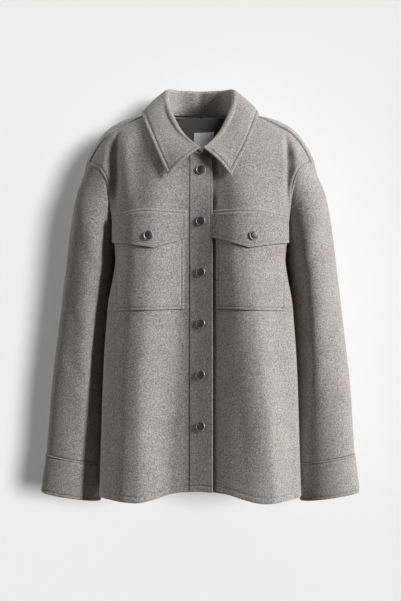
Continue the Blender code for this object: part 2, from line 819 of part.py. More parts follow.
def collar_rows(t, tree):
    """Points across the collar from the neck seam over the fold to the edge, on the +X half."""
    fold = at(FOLD, t)
    along = at(FOLD, min(t + 0.01, 1.0)) - at(FOLD, t - 0.01) if t > 0.0 else Vector((1.0, 0.0, 0.0))
    along.normalize()
    turn = math.pi * (0.5 - t)
    out = Vector((math.cos(turn), math.sin(turn), 0.0))
    out = (out - along * out.dot(along)).normalized()
    up = out.cross(along)
    if up.z < 0.0:
        up = -up
    seam = neck(t)
    lift = (fold - seam).normalized()
    rows = [seam - out * COLLAR_CLOTH + lift * (SEAM_GAP * 2.0)]
    centre = fold - up * FOLD_RADIUS
    turn_points = []
    for k in range(5):
        angle = math.pi * (1.0 - k / 4.0)
        spoke = out * math.cos(angle) + up * math.sin(angle)
        turn_points.append(centre + spoke * FOLD_RADIUS)
    rows.append(rows[0].lerp(turn_points[0], 0.5))
    rows.extend(turn_points)
    edge = at(COLLAR_EDGE, t)
    last = turn_points[-1]
    steps = 5
    for k in range(1, steps + 1):
        share = k / steps
        point = last.lerp(edge, share)
        point += out * (COLLAR_BULGE * math.sin(math.pi * share))
        rows.append(push_out(tree, point, COLLAR_CLOTH + COLLAR_LIFT))
    return rows


def leaned(rows, t):
    """A column of the collar with the lean of the front ends."""
    amount = COLLAR_LEAN * smooth(0.75, 1.0, t)
    first = len(rows) - 6
    moved = []
    for k, point in enumerate(rows):
        share = max(k - first, 0) / 5.0
        moved.append(point + Vector((amount * (1.0 - 2.0 * share), 0.0, 0.0)))
    return moved


def build_collar(tree, collection):
    """One folded collar, right front end round the back to the left front end."""
    half = [0.5 * k / COLLAR_BACK_STEPS for k in range(COLLAR_BACK_STEPS)]
    half += [0.5 + 0.5 * k / COLLAR_FRONT_STEPS for k in range(COLLAR_FRONT_STEPS + 1)]
    plus = [leaned(collar_rows(t, tree), t) for t in half]
    minus = []
    for t in half[1:]:
        mirrored = [push_out(tree, Vector((-p.x, p.y, p.z)), 0.0) for p in collar_rows(t, tree)]
        minus.append(leaned(mirrored, t))
    columns = minus[::-1] + plus
    normals = []
    count = len(columns)
    rows = len(columns[0])
    for i in range(count):
        facing = []
        for j in range(rows):
            side_step = columns[min(i + 1, count - 1)][j] - columns[max(i - 1, 0)][j]
            up_step = columns[i][min(j + 1, rows - 1)] - columns[i][max(j - 1, 0)]
            facing.append(side_step.cross(up_step).normalized())
        normals.append(facing)
    middle = count // 2
    if normals[middle][rows - 2].y < 0.0:
        normals = [[-n for n in facing] for facing in normals]
    inner = []
    for column, facing in zip(columns, normals):
        # The seam edge is cut level, so that it stays clear of the body's neck edge
        level = Vector((facing[0].x, facing[0].y, 0.0)).normalized()
        inner.append([p - n * COLLAR_CLOTH for p, n in zip(column, [level] + facing[1:])])
    shell("collar", columns, inner, "wool", collection)


def on_panel(surface, side, x, z, lifts):
    """Points over a panel at some heights."""
    u, v = locate(surface, side * x, z, 0.5, 14.0)
    normal = normal_of(surface, u, v, side)
    base = surface(u, v)
    return [base + normal * lift for lift in lifts]


def build_pocket(name, side, surface, collection):
    """Patch pocket."""
    outer = []
    inner = []
    steps = 14
    for i in range(steps + 1):
        share = i / steps
        reach = math.sin(math.pi / 2.0 * share) ** 1.1
        x = POCKET_IN + (POCKET_OUT - POCKET_IN) * reach
        bottom = at(POCKET_BOTTOM, reach)
        mouth = at(FLAP_TOP, reach) - POCKET_MOUTH_DROP
        top_column = []
        under_column = []
        for j in range(9):
            z = bottom + (mouth - bottom) * j / 8
            low, high = on_panel(surface, side, x, z, (POCKET_GAP, POCKET_GAP + POCKET_CLOTH))
            top_column.append(high)
            under_column.append(low)
        outer.append(top_column)
        inner.append(under_column)
    shell("pocket_" + name, outer, inner, "wool", collection)


def build_flap(name, side, surface, collection):
    """Pointed flap over the pocket mouth."""
    outer = []
    inner = []
    steps = 14
    rows = 5
    over = POCKET_GAP + POCKET_CLOTH + FLAP_GAP
    for i in range(steps + 1):
        share = i / steps
        reach = math.sin(math.pi / 2.0 * share) ** 1.1
        x = FLAP_IN + (FLAP_OUT - FLAP_IN) * reach
        top = at(FLAP_TOP, reach)
        corner = FLAP_BOTTOM[1]
        if reach <= corner[0]:
            bottom = FLAP_BOTTOM[0][1] + (corner[1] - FLAP_BOTTOM[0][1]) * reach / corner[0]
        else:
            bottom = corner[1] + (FLAP_BOTTOM[2][1] - corner[1]) * (reach - corner[0]) / (1.0 - corner[0])
        top_column = []
        under_column = []
        for j in range(rows + 1):
            z = top + (bottom - top) * j / rows
            low_lift = REST_GAP * 2.0 + (over - REST_GAP * 2.0) * smooth(0.0, 0.010, top - z)
            low, high = on_panel(surface, side, x, z, (low_lift, over + FLAP_CLOTH))
            top_column.append(high)
            under_column.append(low)
        outer.append(top_column)
        inner.append(under_column)
    shell("flap_" + name, outer, inner, "wool", collection)


def build_facing(name, side, surface, collection):
    """Half of the back neck facing, on the inner face of the back."""
    outer = []
    inner = []
    for i in range(9):
        share = i / 8
        neck_row = BACK_NECK_ROW + 3.0 * share
        low_row = 15.0 + 6.0 * share ** 1.6
        low_u = 0.34 * math.sin(math.pi / 2.0 * share)
        face = []
        lining = []
        for j in range(6):
            way = 0.02 + 0.98 * j / 5
            u = low_u * way
            v = neck_row + (low_row - neck_row) * way
            normal = normal_of(surface, max(u, 0.01), v, -side)
            point = surface(u, v)
            gap = Vector((side * SEAM_GAP / 2.0, 0.0, 0.0)) if share == 0.0 else Vector()
            if share == 0.0:
                normal = Vector((0.0, normal.y, normal.z)).normalized()
            face.append(point - normal * (CLOTH + FACING_GAP) + gap)
            lining.append(point - normal * (CLOTH + FACING_GAP + FACING_CLOTH) + gap)
        outer.append(face)
        inner.append(lining)
    shell("facing_" + name, outer, inner, "facing", collection)


def build_label(left_surface, right_surface, collection):
    """Bare label on the facing."""
    outer = []
    inner = []
    for i in range(5):
        x = LABEL_X + LABEL_HALF_WIDTH * (i - 2) / 2
        surface = left_surface if x >= 0.0 else right_surface
        side = 1 if x >= 0.0 else -1
        face = []
        back_face = []
        for j in range(5):
            z = LABEL_TOP - LABEL_LENGTH * j / 4
            u, v = locate(surface, side * max(abs(x), 0.0005), z, 0.1, 17.5)
            point = surface(u, v)
            point.x = x
            normal = normal_of(surface, max(u, 0.02), v, -side)
            depth = CLOTH + FACING_GAP + REST_GAP + FACING_CLOTH
            face.append(point - normal * depth)
            back_face.append(point - normal * (depth + LABEL_CLOTH))
        outer.append(face)
        inner.append(back_face)
    shell("neck_label", outer, inner, "label", collection)


def build_snap(node, place, axis, collection):
    """Round snap cap turned about its axis."""
    builder = bmesh.new()
    chain = [builder.verts.new((radius, 0.0, height)) for radius, height in SNAP_PROFILE]
    edges = [builder.edges.new((a, b)) for a, b in zip(chain, chain[1:])]
    bmesh.ops.spin(
        builder, geom=chain + edges, cent=(0.0, 0.0, 0.0), axis=(0.0, 0.0, 1.0),
        angle=2.0 * math.pi, steps=SNAP_SIDES, use_merge=True,
    )
    bmesh.ops.remove_doubles(builder, verts=builder.verts, dist=1e-6)
    turn = Vector((0.0, 0.0, 1.0)).rotation_difference(axis).to_matrix().to_4x4()
    bmesh.ops.transform(builder, matrix=Matrix.Translation(place) @ turn, verts=builder.verts)
    finish(builder, node, "snap_metal", collection)


main()
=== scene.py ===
"""Looks of the oversized wool shirt jacket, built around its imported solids.

Metres, +Z up, the front faces -Y. Each sheet repeats the surface of its solid, with finer folds and sewing.
"""
import math
from functools import partial

import bmesh
import bpy
import numpy as np
from mathutils import Matrix, Vector
from mathutils.bvhtree import BVHTree


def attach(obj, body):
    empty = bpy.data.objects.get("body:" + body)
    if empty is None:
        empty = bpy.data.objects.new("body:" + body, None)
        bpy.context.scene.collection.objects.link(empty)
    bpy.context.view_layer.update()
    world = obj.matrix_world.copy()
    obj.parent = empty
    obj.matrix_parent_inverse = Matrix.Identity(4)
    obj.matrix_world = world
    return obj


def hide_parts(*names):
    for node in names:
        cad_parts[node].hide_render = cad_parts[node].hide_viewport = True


bl_info = {
    "name": "Oversized wool shirt jacket",
    "version": (1, 0, 0),
    "blender": (4, 5, 0),
    "location": "3D View > Sidebar > Jacket",
    "description": "Dresses the packed jacket in wool sheets with folds, stitching and snaps",
    "category": "Object",
}

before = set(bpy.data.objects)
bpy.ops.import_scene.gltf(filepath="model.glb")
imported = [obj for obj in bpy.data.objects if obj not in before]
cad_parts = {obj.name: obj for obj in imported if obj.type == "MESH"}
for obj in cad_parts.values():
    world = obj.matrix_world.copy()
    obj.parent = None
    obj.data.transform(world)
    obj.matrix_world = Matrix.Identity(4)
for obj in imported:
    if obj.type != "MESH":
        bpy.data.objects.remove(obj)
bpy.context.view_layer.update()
SIDES = {"right": -1, "left": 1}

# Gaps between pieces, as in the solids
SEAM_GAP = 0.0004
REST_GAP = 0.0006
FACING_GAP = 0.0020
POCKET_GAP = 0.0014
FLAP_GAP = 0.0010

# Rows of a body panel: hem, underarm, neck and shoulder
ARM_ROW = 12
FRONT_NECK_ROW = 18
BACK_NECK_ROW = 19
TOP_ROW = 24
# Away from the neck edge, its corner is eased over some rows, so that it leaves no crease
NECK_EASE = 3.2

# Centre front: the band laps from one side to the other
BAND_INNER = 0.0193
BAND_FREE = 0.0212
BAND_PROUD = 0.0008
BAND_NECK_DROP = 0.0030
BAND_CLOTH = 0.0028
CHEST_Z = -0.270
UNDERLAP = 0.0160

# Side seam: height, half width
SIDE_SEAM = (
    (-0.692, 0.1755),
    (-0.600, 0.1725),
    (-0.456, 0.1675),
    (-0.325, 0.1580),
    (-0.268, 0.1550),
)
EDGE_FULLNESS = 0.0180
# Centre front and centre back: height, depth
FRONT_DEPTH = ((-0.681, -0.1200), (-0.450, -0.1170), (-0.270, -0.1130), (-0.150, -0.1080), (-0.079, -0.0940))
BACK_DEPTH = (
    (-0.700, 0.1160),
    (-0.450, 0.1130),
    (-0.270, 0.1120),
    (-0.130, 0.1040),
    (-0.050, 0.0860),
    (0.004, 0.0660),
)
# Hem: share of the half width, height
FRONT_HEM = (
    (0.0, -0.681),
    (0.27, -0.685),
    (0.45, -0.694),
    (0.62, -0.700),
    (0.80, -0.699),
    (0.93, -0.696),
    (1.0, -0.692),
)
HEM_FADE_ROW = 7.0
BACK_HEM = ((0.0, -0.703), (0.5, -0.706), (0.8, -0.701), (1.0, -0.692))

# Neck seam, collar fold and collar edge from centre back to centre front: step, x, y, z
NECK = (
    (0.0, 0.0, 0.0660, 0.0040),
    (0.25, 0.0470, 0.0540, 0.0050),
    (0.5, 0.0790, -0.0120, 0.0030),
    (0.75, 0.0560, -0.0660, -0.0400),
    (1.0, 0.0, -0.0940, -0.0790),
    (1.2, -0.0300, -0.0945, -0.0820),
)
FOLD = (
    (0.0, 0.0, 0.0620, 0.0530),
    (0.25, 0.0430, 0.0500, 0.0535),
    (0.42, 0.0625, 0.0200, 0.0505),
    (0.55, 0.0630, -0.0100, 0.0300),
    (0.7, 0.0520, -0.0450, -0.0020),
    (0.85, 0.0300, -0.0780, -0.0420),
    (1.0, 0.0020, -0.1030, -0.0696),
)
COLLAR_EDGE = (
    (0.0, 0.0, 0.0900, -0.0080),
    (0.25, 0.0680, 0.0770, -0.0050),
    (0.35, 0.0930, 0.0500, 0.0050),
    (0.45, 0.1060, 0.0100, 0.0066),
    (0.55, 0.1065, -0.0240, -0.0045),
    (0.75, 0.0850, -0.0840, -0.0595),
    (1.0, 0.0563, -0.1150, -0.1203),
)
FOLD_RADIUS = 0.0065
COLLAR_BULGE = 0.0050
# The front ends lean: the fold to one side, the tips to the other
COLLAR_LEAN = 0.0020
COLLAR_LIFT = 0.0024
COLLAR_CLOTH = 0.0026
# Towards the front ends the roll ends earlier and the fold is pressed flatter: steps, limits
ROLL_LIMIT = math.radians(70.0)
ROLL_FADE = (0.50, 0.75)
PRESS_FADE = (0.78, 1.0)
PRESS = 0.5
# Where the fall's stitching starts, from the neck seam
COLLAR_SEWN = (0.020, 0.034)
COLLAR_FALL = 0.030

# Armhole seam: share of the way round from the underarm by the front, x, y, z
ARMHOLE = (
    (-0.125, 0.1590, 0.0600, -0.2220),
    (0.0, 0.1550, 0.0000, -0.2680),
    (0.16, 0.1585, -0.0450, -0.2150),
    (0.30, 0.1660, -0.0665, -0.1450),
    (0.40, 0.1800, -0.0655, -0.1085),
    (0.50, 0.2020, -0.0340, -0.0910),
    (0.58, 0.2110, 0.0120, -0.0842),
    (0.66, 0.1975, 0.0570, -0.0975),
    (0.75, 0.1690, 0.0815, -0.1480),
    (0.875, 0.1590, 0.0600, -0.2220),
    (1.0, 0.1550, 0.0000, -0.2680),
    (1.16, 0.1585, -0.0450, -0.2150),
)
# Shoulder seam and the crest behind it: share of the length, rise over a straight line
SHOULDER_SEAM = (
    (0.0, 0.0),
    (0.14, 0.0090),
    (0.27, 0.0162),
    (0.43, 0.0222),
    (0.58, 0.0262),
    (0.70, 0.0286),
    (0.79, 0.0258),
    (0.87, 0.0206),
    (0.96, 0.0085),
    (1.0, 0.0),
)
SHOULDER_CREST = (
    (0.0, 0.0),
    (0.18, 0.0110),
    (0.36, 0.0275),
    (0.50, 0.0352),
    (0.62, 0.0382),
    (0.70, 0.0382),
    (0.79, 0.0348),
    (0.84, 0.0298),
    (0.89, 0.0232),
    (0.94, 0.0152),
    (1.0, 0.0),
)
CREST_ROW = 22.08

# Waves across both fronts: height, then x of the right ridge, of the valley and of the left ridge,
# and how far each of them stands out
FRONT_WAVES = (
    (-0.690, -0.114, -0.050, 0.126, 0.0120, -0.0110, 0.0270),
    (-0.570, -0.114, -0.045, 0.118, 0.0120, -0.0135, 0.0315),
    (-0.465, -0.112, -0.037, 0.104, 0.0115, -0.0135, 0.0285),
    (-0.360, -0.104, -0.029, 0.090, 0.0115, -0.0120, 0.0240),
    (-0.270, -0.097, -0.025, 0.079, 0.0110, -0.0105, 0.0190),
    (-0.160, -0.095, -0.021, 0.082, 0.0095, -0.0085, 0.0125),
)
WAVE_FLANK = 0.040
WAVE_EASE = 0.25
WAVE_TOP = (-0.230, -0.060)
# Fold beside the armhole and the ridge beyond it
ARM_FOLD_X = {-1: 0.1465, 1: 0.1520}
ARM_FOLD_DEPTH = 0.0220
ARM_FOLD_WIDTH = 0.022
ARM_RIDGE_X = 0.1770
ARM_RIDGE_HEIGHT = 0.0110
ARM_RIDGE_WIDTH = 0.011
ARM_FOLD_ROWS = (16.8, 19.0, 21.5, 23.6)
# Full cloth at the edge of the fold, on the right front alone
ARM_LIP_X = 0.1350
ARM_LIP_HEIGHT = 0.0075
ARM_LIP_WIDTH = 0.017
ARM_LIP_ROWS = (15.5, 18.5, 21.0, 23.6)
# Fullness of the chest and of the back below the shoulders, and the hanging folds of the back
CHEST_FULLNESS = 0.012
BACK_FULLNESS = 0.010
BACK_HANG = 0.013
BACK_HOLLOW = 0.004
# The under front dips beside the free edge of the band
BAND_DIP = 0.0045
BAND_DIP_WIDTH = 0.0065

# Sleeve sections: step, inner x, outer x, inner z, outer z, middle y, half depth
SLEEVE = (
    (0.20, 0.1615, 0.2265, -0.300, -0.140, 0.004, 0.0770),
    (0.34, 0.1650, 0.2395, -0.345, -0.205, 0.008, 0.0760),
    (0.48, 0.1700, 0.2500, -0.405, -0.290, 0.010, 0.0720),
    (0.64, 0.1750, 0.2620, -0.475, -0.390, 0.010, 0.0670),
    (0.80, 0.1790, 0.2755, -0.550, -0.500, 0.008, 0.0590),
    (0.91, 0.1812, 0.2810, -0.602, -0.573, 0.006, 0.0530),
    (1.00, 0.1825, 0.2850, -0.640, -0.6235, 0.005, 0.0490),
)
LEFT_SLEEVE_EASE = 0.0030
ELBOW_BEND = 0.0014
CUFF = (
    (0.0, 0.1820, 0.2858, -0.6404, -0.6239, 0.005, 0.0498),
    (0.5, 0.1835, 0.2905, -0.6750, -0.6590, 0.004, 0.0485),
    (1.0, 0.1845, 0.2945, -0.7110, -0.6950, 0.003, 0.0470),
)

# Pockets and flaps on the +X front: share across, height
POCKET_IN = 0.0291
POCKET_OUT = 0.1510
POCKET_MOUTH_DROP = 0.0160
POCKET_CLOTH = 0.0018
POCKET_SEWN = 0.012
POCKET_BOTTOM = ((0.0, -0.3575), (1.0, -0.3610))
FLAP_IN = 0.0242
FLAP_OUT = 0.1535
FLAP_CLOTH = 0.0024
FLAP_SEWN = 0.010
FLAP_TOP = ((0.0, -0.1812), (0.58, -0.1793), (1.0, -0.1870))
FLAP_BOTTOM = ((0.0, -0.2307), (0.466, -0.2492), (1.0, -0.2382))

# Snaps: where they sit
SNAP_X = 0.0008
SNAP_TOP = -0.1090
SNAP_STEP = -0.0913
SNAP_COUNT = 6
FLAP_SNAP_X = 0.0920
FLAP_SNAP_Z = -0.2268

LABEL_X = 0.0065
LABEL_HALF_WIDTH = 0.0195
LABEL_TOP = -0.0212
LABEL_TILT = 0.045
LABEL_LENGTH = 0.0400
FACING_CLOTH = 0.0010
LABEL_CLOTH = 0.0010
# The facings reach up behind the collar's stand
FACING_RISE = 0.0014
# Half of the open line between the facings
FACING_SEAM = 0.0008

# Grid lines at a rounded edge and at a row of stitches: distances
RIM_LINES = (0.0, 0.00018, 0.0006, 0.0012, 0.0022)
GROOVE_LINES = (-0.0016, -0.0009, -0.0004, 0.0, 0.0004, 0.0009, 0.0016)
GROOVE_DEPTH = 0.0008
GROOVE_WIDTH = 0.0008
EDGE_PUFF = 0.0005
SEAM_PUFF = 0.0014
# A sleeve starts this much lower than the seam that covers its end
SLEEVE_DROP = 0.0009
SLEEVE_DROP_REACH = 0.007
# The back laps over the front at the shoulder: its rise, and the dip of the front
SHOULDER_LAP = 0.0018
SHOULDER_LAP_REACH = (0.004, 0.012)
SHOULDER_DIP = 0.0007
SHOULDER_DIP_REACH = 0.006

# Rows of stitches: distances in from an edge
HEM_STITCHES = (0.0110,)
SHOULDER_STITCHES = (0.0030,)
SHOULDER_LINES_REACH = 0.010
ARMHOLE_STITCHES = (0.0056,)
BAND_STITCHES = (0.0032,)
CUFF_SEAM_STITCHES = (0.0045,)
CUFF_EDGE_STITCHES = (0.0055,)
COLLAR_STITCHES = (0.0072,)
FLAP_STITCHES = (0.0065,)
FLAP_TOP_STITCHES = (0.0058,)
POCKET_STITCHES = (0.0050,)
# A sewn seam is narrower than a free edge by this factor
SEAM_SHARPNESS = 3.0
# Short bar of stitches above each snap: height over the snap's middle, length
BAR_RISE = 0.0100
BAR_LENGTH = 0.0050
# Relief fades out at an edge over this distance
RELIEF_FADE = 0.0012
# A stitch: half its length as a share of the pitch, and its rise as a share of the thread's radius
STITCH_HALF = 0.40
STITCH_RISE = 0.35
# Stitching of the armhole sets in above the underarm's row
ARM_FADE_ROWS = 0.4
ARM_START_ROWS = 0.5
# Height of a row of a body panel at the hem and at the shoulder
ROW_HEIGHT = 0.03425
SHOULDER_ROW_HEIGHT = 0.012
# Grid rows of a panel from the hem to the underarm, the neck and the shoulder
FRONT_GRID = (120, 48, 44)
BACK_GRID = (100, 52, 36)
# Step of the small differences that give a normal, and the distance that joins points
NORMAL_STEP = 0.004
MERGE_DISTANCE = 1e-6

# Listed folds: start across and up, end across and up, bow, depth, width
FRONT_FOLDS = {
    "right": (
        (0.128, -0.400, 0.146, -0.600, -0.003, 0.0012, 0.016),
        (0.072, -0.520, 0.088, -0.690, 0.004, 0.0010, 0.022),
    ),
    "left": (
        (0.130, -0.390, 0.146, -0.590, 0.003, 0.0012, 0.016),
        (0.060, -0.500, 0.078, -0.690, -0.004, 0.0010, 0.022),
    ),
}
BACK_FOLDS = (
    (-0.140, -0.150, -0.060, -0.260, 0.006, 0.0030, 0.016),
    (0.138, -0.160, 0.070, -0.275, -0.005, 0.0028, 0.017),
    (-0.020, -0.300, -0.045, -0.690, 0.006, 0.0030, 0.022),
    (0.045, -0.330, 0.060, -0.690, -0.005, 0.0026, 0.024),
    (-0.110, -0.420, -0.125, -0.680, 0.004, 0.0024, 0.018),
    (0.118, -0.400, 0.135, -0.690, 0.003, 0.0022, 0.018),
    (-0.070, -0.060, -0.020, -0.110, 0.003, 0.0016, 0.014),
    (0.075, -0.065, 0.030, -0.120, -0.003, 0.0015, 0.014),
)
# Folds of a sleeve: share round it times its girth, distance down, and as above
SLEEVE_GIRTH = 0.30
SLEEVE_FOLDS = {
    "right": (
        (0.020, -0.060, 0.095, -0.130, 0.006, 0.0012, 0.014),
        (0.045, -0.230, 0.120, -0.275, -0.004, 0.0008, 0.016),
        (0.030, -0.300, 0.110, -0.330, 0.003, 0.0007, 0.016),
        (0.180, -0.220, 0.270, -0.290, 0.004, 0.0024, 0.014),
        (0.170, -0.320, 0.262, -0.365, -0.003, 0.0020, 0.014),
        (0.105, -0.180, 0.085, -0.460, 0.004, 0.0014, 0.018),
        (0.036, -0.330, 0.034, -0.010, 0.003, 0.0085, 0.016),
    ),
    "left": (
        (0.022, -0.070, 0.100, -0.140, -0.005, 0.0011, 0.014),
        (0.050, -0.245, 0.115, -0.290, 0.004, 0.0008, 0.016),
        (0.028, -0.315, 0.105, -0.350, -0.003, 0.0007, 0.016),
        (0.175, -0.230, 0.268, -0.300, -0.004, 0.0024, 0.014),
        (0.172, -0.335, 0.258, -0.380, 0.003, 0.0019, 0.014),
        (0.110, -0.170, 0.088, -0.450, -0.004, 0.0013, 0.018),
        (0.034, -0.310, 0.035, -0.010, 0.003, 0.0080, 0.016),
    ),
}

# Snap cap: radius, height
SNAP_PROFILE = (
    (0.0, 0.0),
    (0.0080, 0.0),
    (0.0085, 0.0004),
    (0.0087, 0.0010),
    (0.0086, 0.0016),
    (0.0083, 0.0021),
    (0.0079, 0.0023),
    (0.0075, 0.0021),
    (0.0072, 0.0017),
    (0.0069, 0.0016),
    (0.0062, 0.0019),
    (0.0046, 0.0023),
    (0.0030, 0.0025),
    (0.0014, 0.0026),
    (0.0, 0.00262),
)
SNAP_STEPS = 40
SNAP_FACE_RADIUS = 0.0071

# Camera and stage
IMAGE_HEIGHT = 601
PIXEL_SIZE = 0.00185
CAMERA_DISTANCE = 2.8
CAMERA_HEIGHT = -0.342
WALL_DEPTH = 0.150
FLOOR_HEIGHT = -0.960
STAGE_HALF = 3.0
# Pieces that some lights are kept to or kept off
STAGE_PLANES = ("stage_floor", "stage_wall")
NEAR_SLEEVE = ("wool_sleeve_right", "wool_cuff_right", "stitches_cuff_right")
IN_NECK = ("facing_cloth_right", "facing_cloth_left", "label_cloth")


def smooth_between(steps, where, pick):
    """Smooth values at some steps, between rows that a function picks by their index."""
    last = len(steps) - 1
    k = np.clip(np.searchsorted(steps, where) - 1, 0, last - 1)
    before = np.maximum(k - 1, 0)
    after = np.minimum(k + 2, last)
    span = (steps[k + 1] - steps[k])[..., None]
    share = (where - steps[k])[..., None] / span
    inside = np.clip(share, 0.0, 1.0)
    start, end = pick(k), pick(k + 1)
    rise = end - start
    slope_start = (end - pick(before)) / (steps[k + 1] - steps[before])[..., None] * span
    slope_end = (pick(after) - start) / (steps[after] - steps[k])[..., None] * span
    value = start + inside * slope_start
    value = value + inside ** 2 * (3.0 * rise - 2.0 * slope_start - slope_end)
    value = value + inside ** 3 * (slope_start + slope_end - 2.0 * rise)
    return value + (share - inside) * np.where(share < 0.0, slope_start, slope_end)


def curve(steps, values, where):
    """Smooth values between the rows of a table, at an array of steps."""
    return smooth_between(steps, np.asarray(where, float), lambda index: values[index])


def at(table, step):
    """Smooth values at steps of a table whose rows start with the step."""
    rows = np.asarray(table, float)
    value = curve(rows[:, 0], rows[:, 1:], step)
    return value[..., 0] if value.shape[-1] == 1 else value


def smooth(low, high, value):
    """Soft step from 0 at low to 1 at high."""
    share = np.clip((np.asarray(value, float) - low) / (high - low), 0.0, 1.0)
    return share * share * (3.0 - 2.0 * share)


def between(rows, value):
    """Soft window that opens over the first two values of a row of four and shuts over the last two."""
    return smooth(rows[0], rows[1], value) * (1.0 - smooth(rows[2], rows[3], value))


def bump(value, middle, width):
    """Soft hill of height 1."""
    return np.exp(-((value - middle) / width) ** 2)


def signed_power(value, power):
    """Power that keeps the sign."""
    return np.sign(value) * np.abs(value) ** power


def unit(vectors):
    """Vectors of length 1."""
    return vectors / np.maximum(np.linalg.norm(vectors, axis=-1, keepdims=True), 1e-12)


def point(x, y, z):
    """Points from their coordinates."""
    return np.stack(np.broadcast_arrays(x, y, z), axis=-1)


def across(u, fullness):
    """Share across and share of depth left, on a rounded quarter section."""
    angle = math.pi / 2.0 * signed_power(u, np.maximum(1.5, 0.47 * fullness))
    power = 2.0 / fullness
    return signed_power(np.sin(angle), power), signed_power(np.cos(angle), power)


def neck_step(x):
    """Step of the neck seam at some distance from the middle, in front."""
    steps = np.linspace(0.75, 1.2, 400)
    return np.interp(-np.asarray(x, float), -at(NECK, steps)[:, 0], steps)


def side_point(v):
    """Side seam point of a row below the underarm."""
    z = SIDE_SEAM[0][0] + (SIDE_SEAM[-1][0] - SIDE_SEAM[0][0]) * v / ARM_ROW
    return point(at(SIDE_SEAM, z), 0.0, z)


def fold_relief(x, z, folds):
    """Height of listed folds: troughs with a soft ridge on one side, tapered at both ends."""
    height = np.zeros(np.shape(x))
    for x0, z0, x1, z1, bow, depth, width in folds:
        along_x, along_z = x1 - x0, z1 - z0
        length = math.hypot(along_x, along_z)
        share = np.clip(((x - x0) * along_x + (z - z0) * along_z) / length ** 2, -0.3, 1.3)
        off = ((x - x0) * along_z - (z - z0) * along_x) / length
        off = off - bow * np.sin(math.pi * np.clip(share, 0.0, 1.0))
        taper = smooth(-0.3, 0.35, share) * (1.0 - smooth(0.6, 1.3, share))
        spread = width * (0.8 + 0.6 * np.clip(share, 0.0, 1.0))
        trough = bump(off, 0.0, spread)
        ridge = bump(off, 1.9 * width, 1.3 * spread)
        height = height - depth * taper * (trough - 0.55 * ridge)
    return height


def ramp(low, high, value):
    """Rise from 0 at low to 1 at high that is straight but for its eased ends."""
    share = np.clip((np.asarray(value, float) - low) / (high - low), 0.0, 1.0)
    from_end = np.minimum(share, 1.0 - share)
    curved = from_end ** 2 / (2.0 * WAVE_EASE * (1.0 - WAVE_EASE))
    straight = (from_end - WAVE_EASE / 2.0) / (1.0 - WAVE_EASE)
    height = np.where(from_end < WAVE_EASE, curved, straight)
    return np.where(share < 0.5, height, 1.0 - height)


def front_wave(x, z):
    """How far the waves of the fronts stand out: zero at both sides and near the neck."""
    right, valley, left, right_out, valley_out, left_out = np.moveaxis(at(FRONT_WAVES, z), -1, 0)
    edge = at(SIDE_SEAM, np.minimum(z, SIDE_SEAM[-1][0]))
    out = right_out * smooth(-edge, WAVE_FLANK - edge, x)
    out = out + (valley_out - right_out) * smooth(right, valley, x)
    out = out + (left_out - valley_out) * ramp(valley, left, x) - left_out * smooth(left, edge, x)
    return out * (1.0 - smooth(*WAVE_TOP, z))


def eased(value, ease):
    """Zero below zero and the value above it, with a round corner of a given size."""
    return np.where(np.abs(value) < ease, (value + ease) ** 2 / (4.0 * ease), np.maximum(value, 0.0))


def centre_line(v, share, ends, depths, start, neck_row):
    """Centre edge of a panel up to the neck, then the neck seam up to the shoulder.

    The corner between them is round for the parts of a row that lie away from the neck.
    """
    inner_x, hem_z, neck_z = ends
    ease = NECK_EASE * smooth(0.0, 0.5, np.abs(share)) + 1e-6
    low = neck_row - eased(neck_row - v, ease)
    z_low = hem_z + (CHEST_Z - hem_z) * low / ARM_ROW
    z_high = CHEST_Z + (neck_z - CHEST_Z) * (low - ARM_ROW) / (neck_row - ARM_ROW)
    z = np.where(low <= ARM_ROW, z_low, z_high)
    centre = point(inner_x, at(depths, z), z)
    around = start + (0.5 - start) * eased(v - neck_row, ease) / (TOP_ROW - neck_row)
    seam_end = at(NECK, start)
    step = seam_end - point(inner_x, at(depths, neck_z), neck_z)
    step = step * smooth(-ease, ease, v - neck_row)[..., None]
    return centre + at(NECK, around) - seam_end + step


def panel_place(inner, outer, share, depth):
    """Coordinates between the centre line and the outer edge of a panel, on its rounded section."""
    x = inner[..., 0] + (outer[..., 0] - inner[..., 0]) * share
    y = outer[..., 1] + (inner[..., 1] - outer[..., 1]) * depth
    z = inner[..., 2] + (outer[..., 2] - inner[..., 2]) * share
    return x, y, z


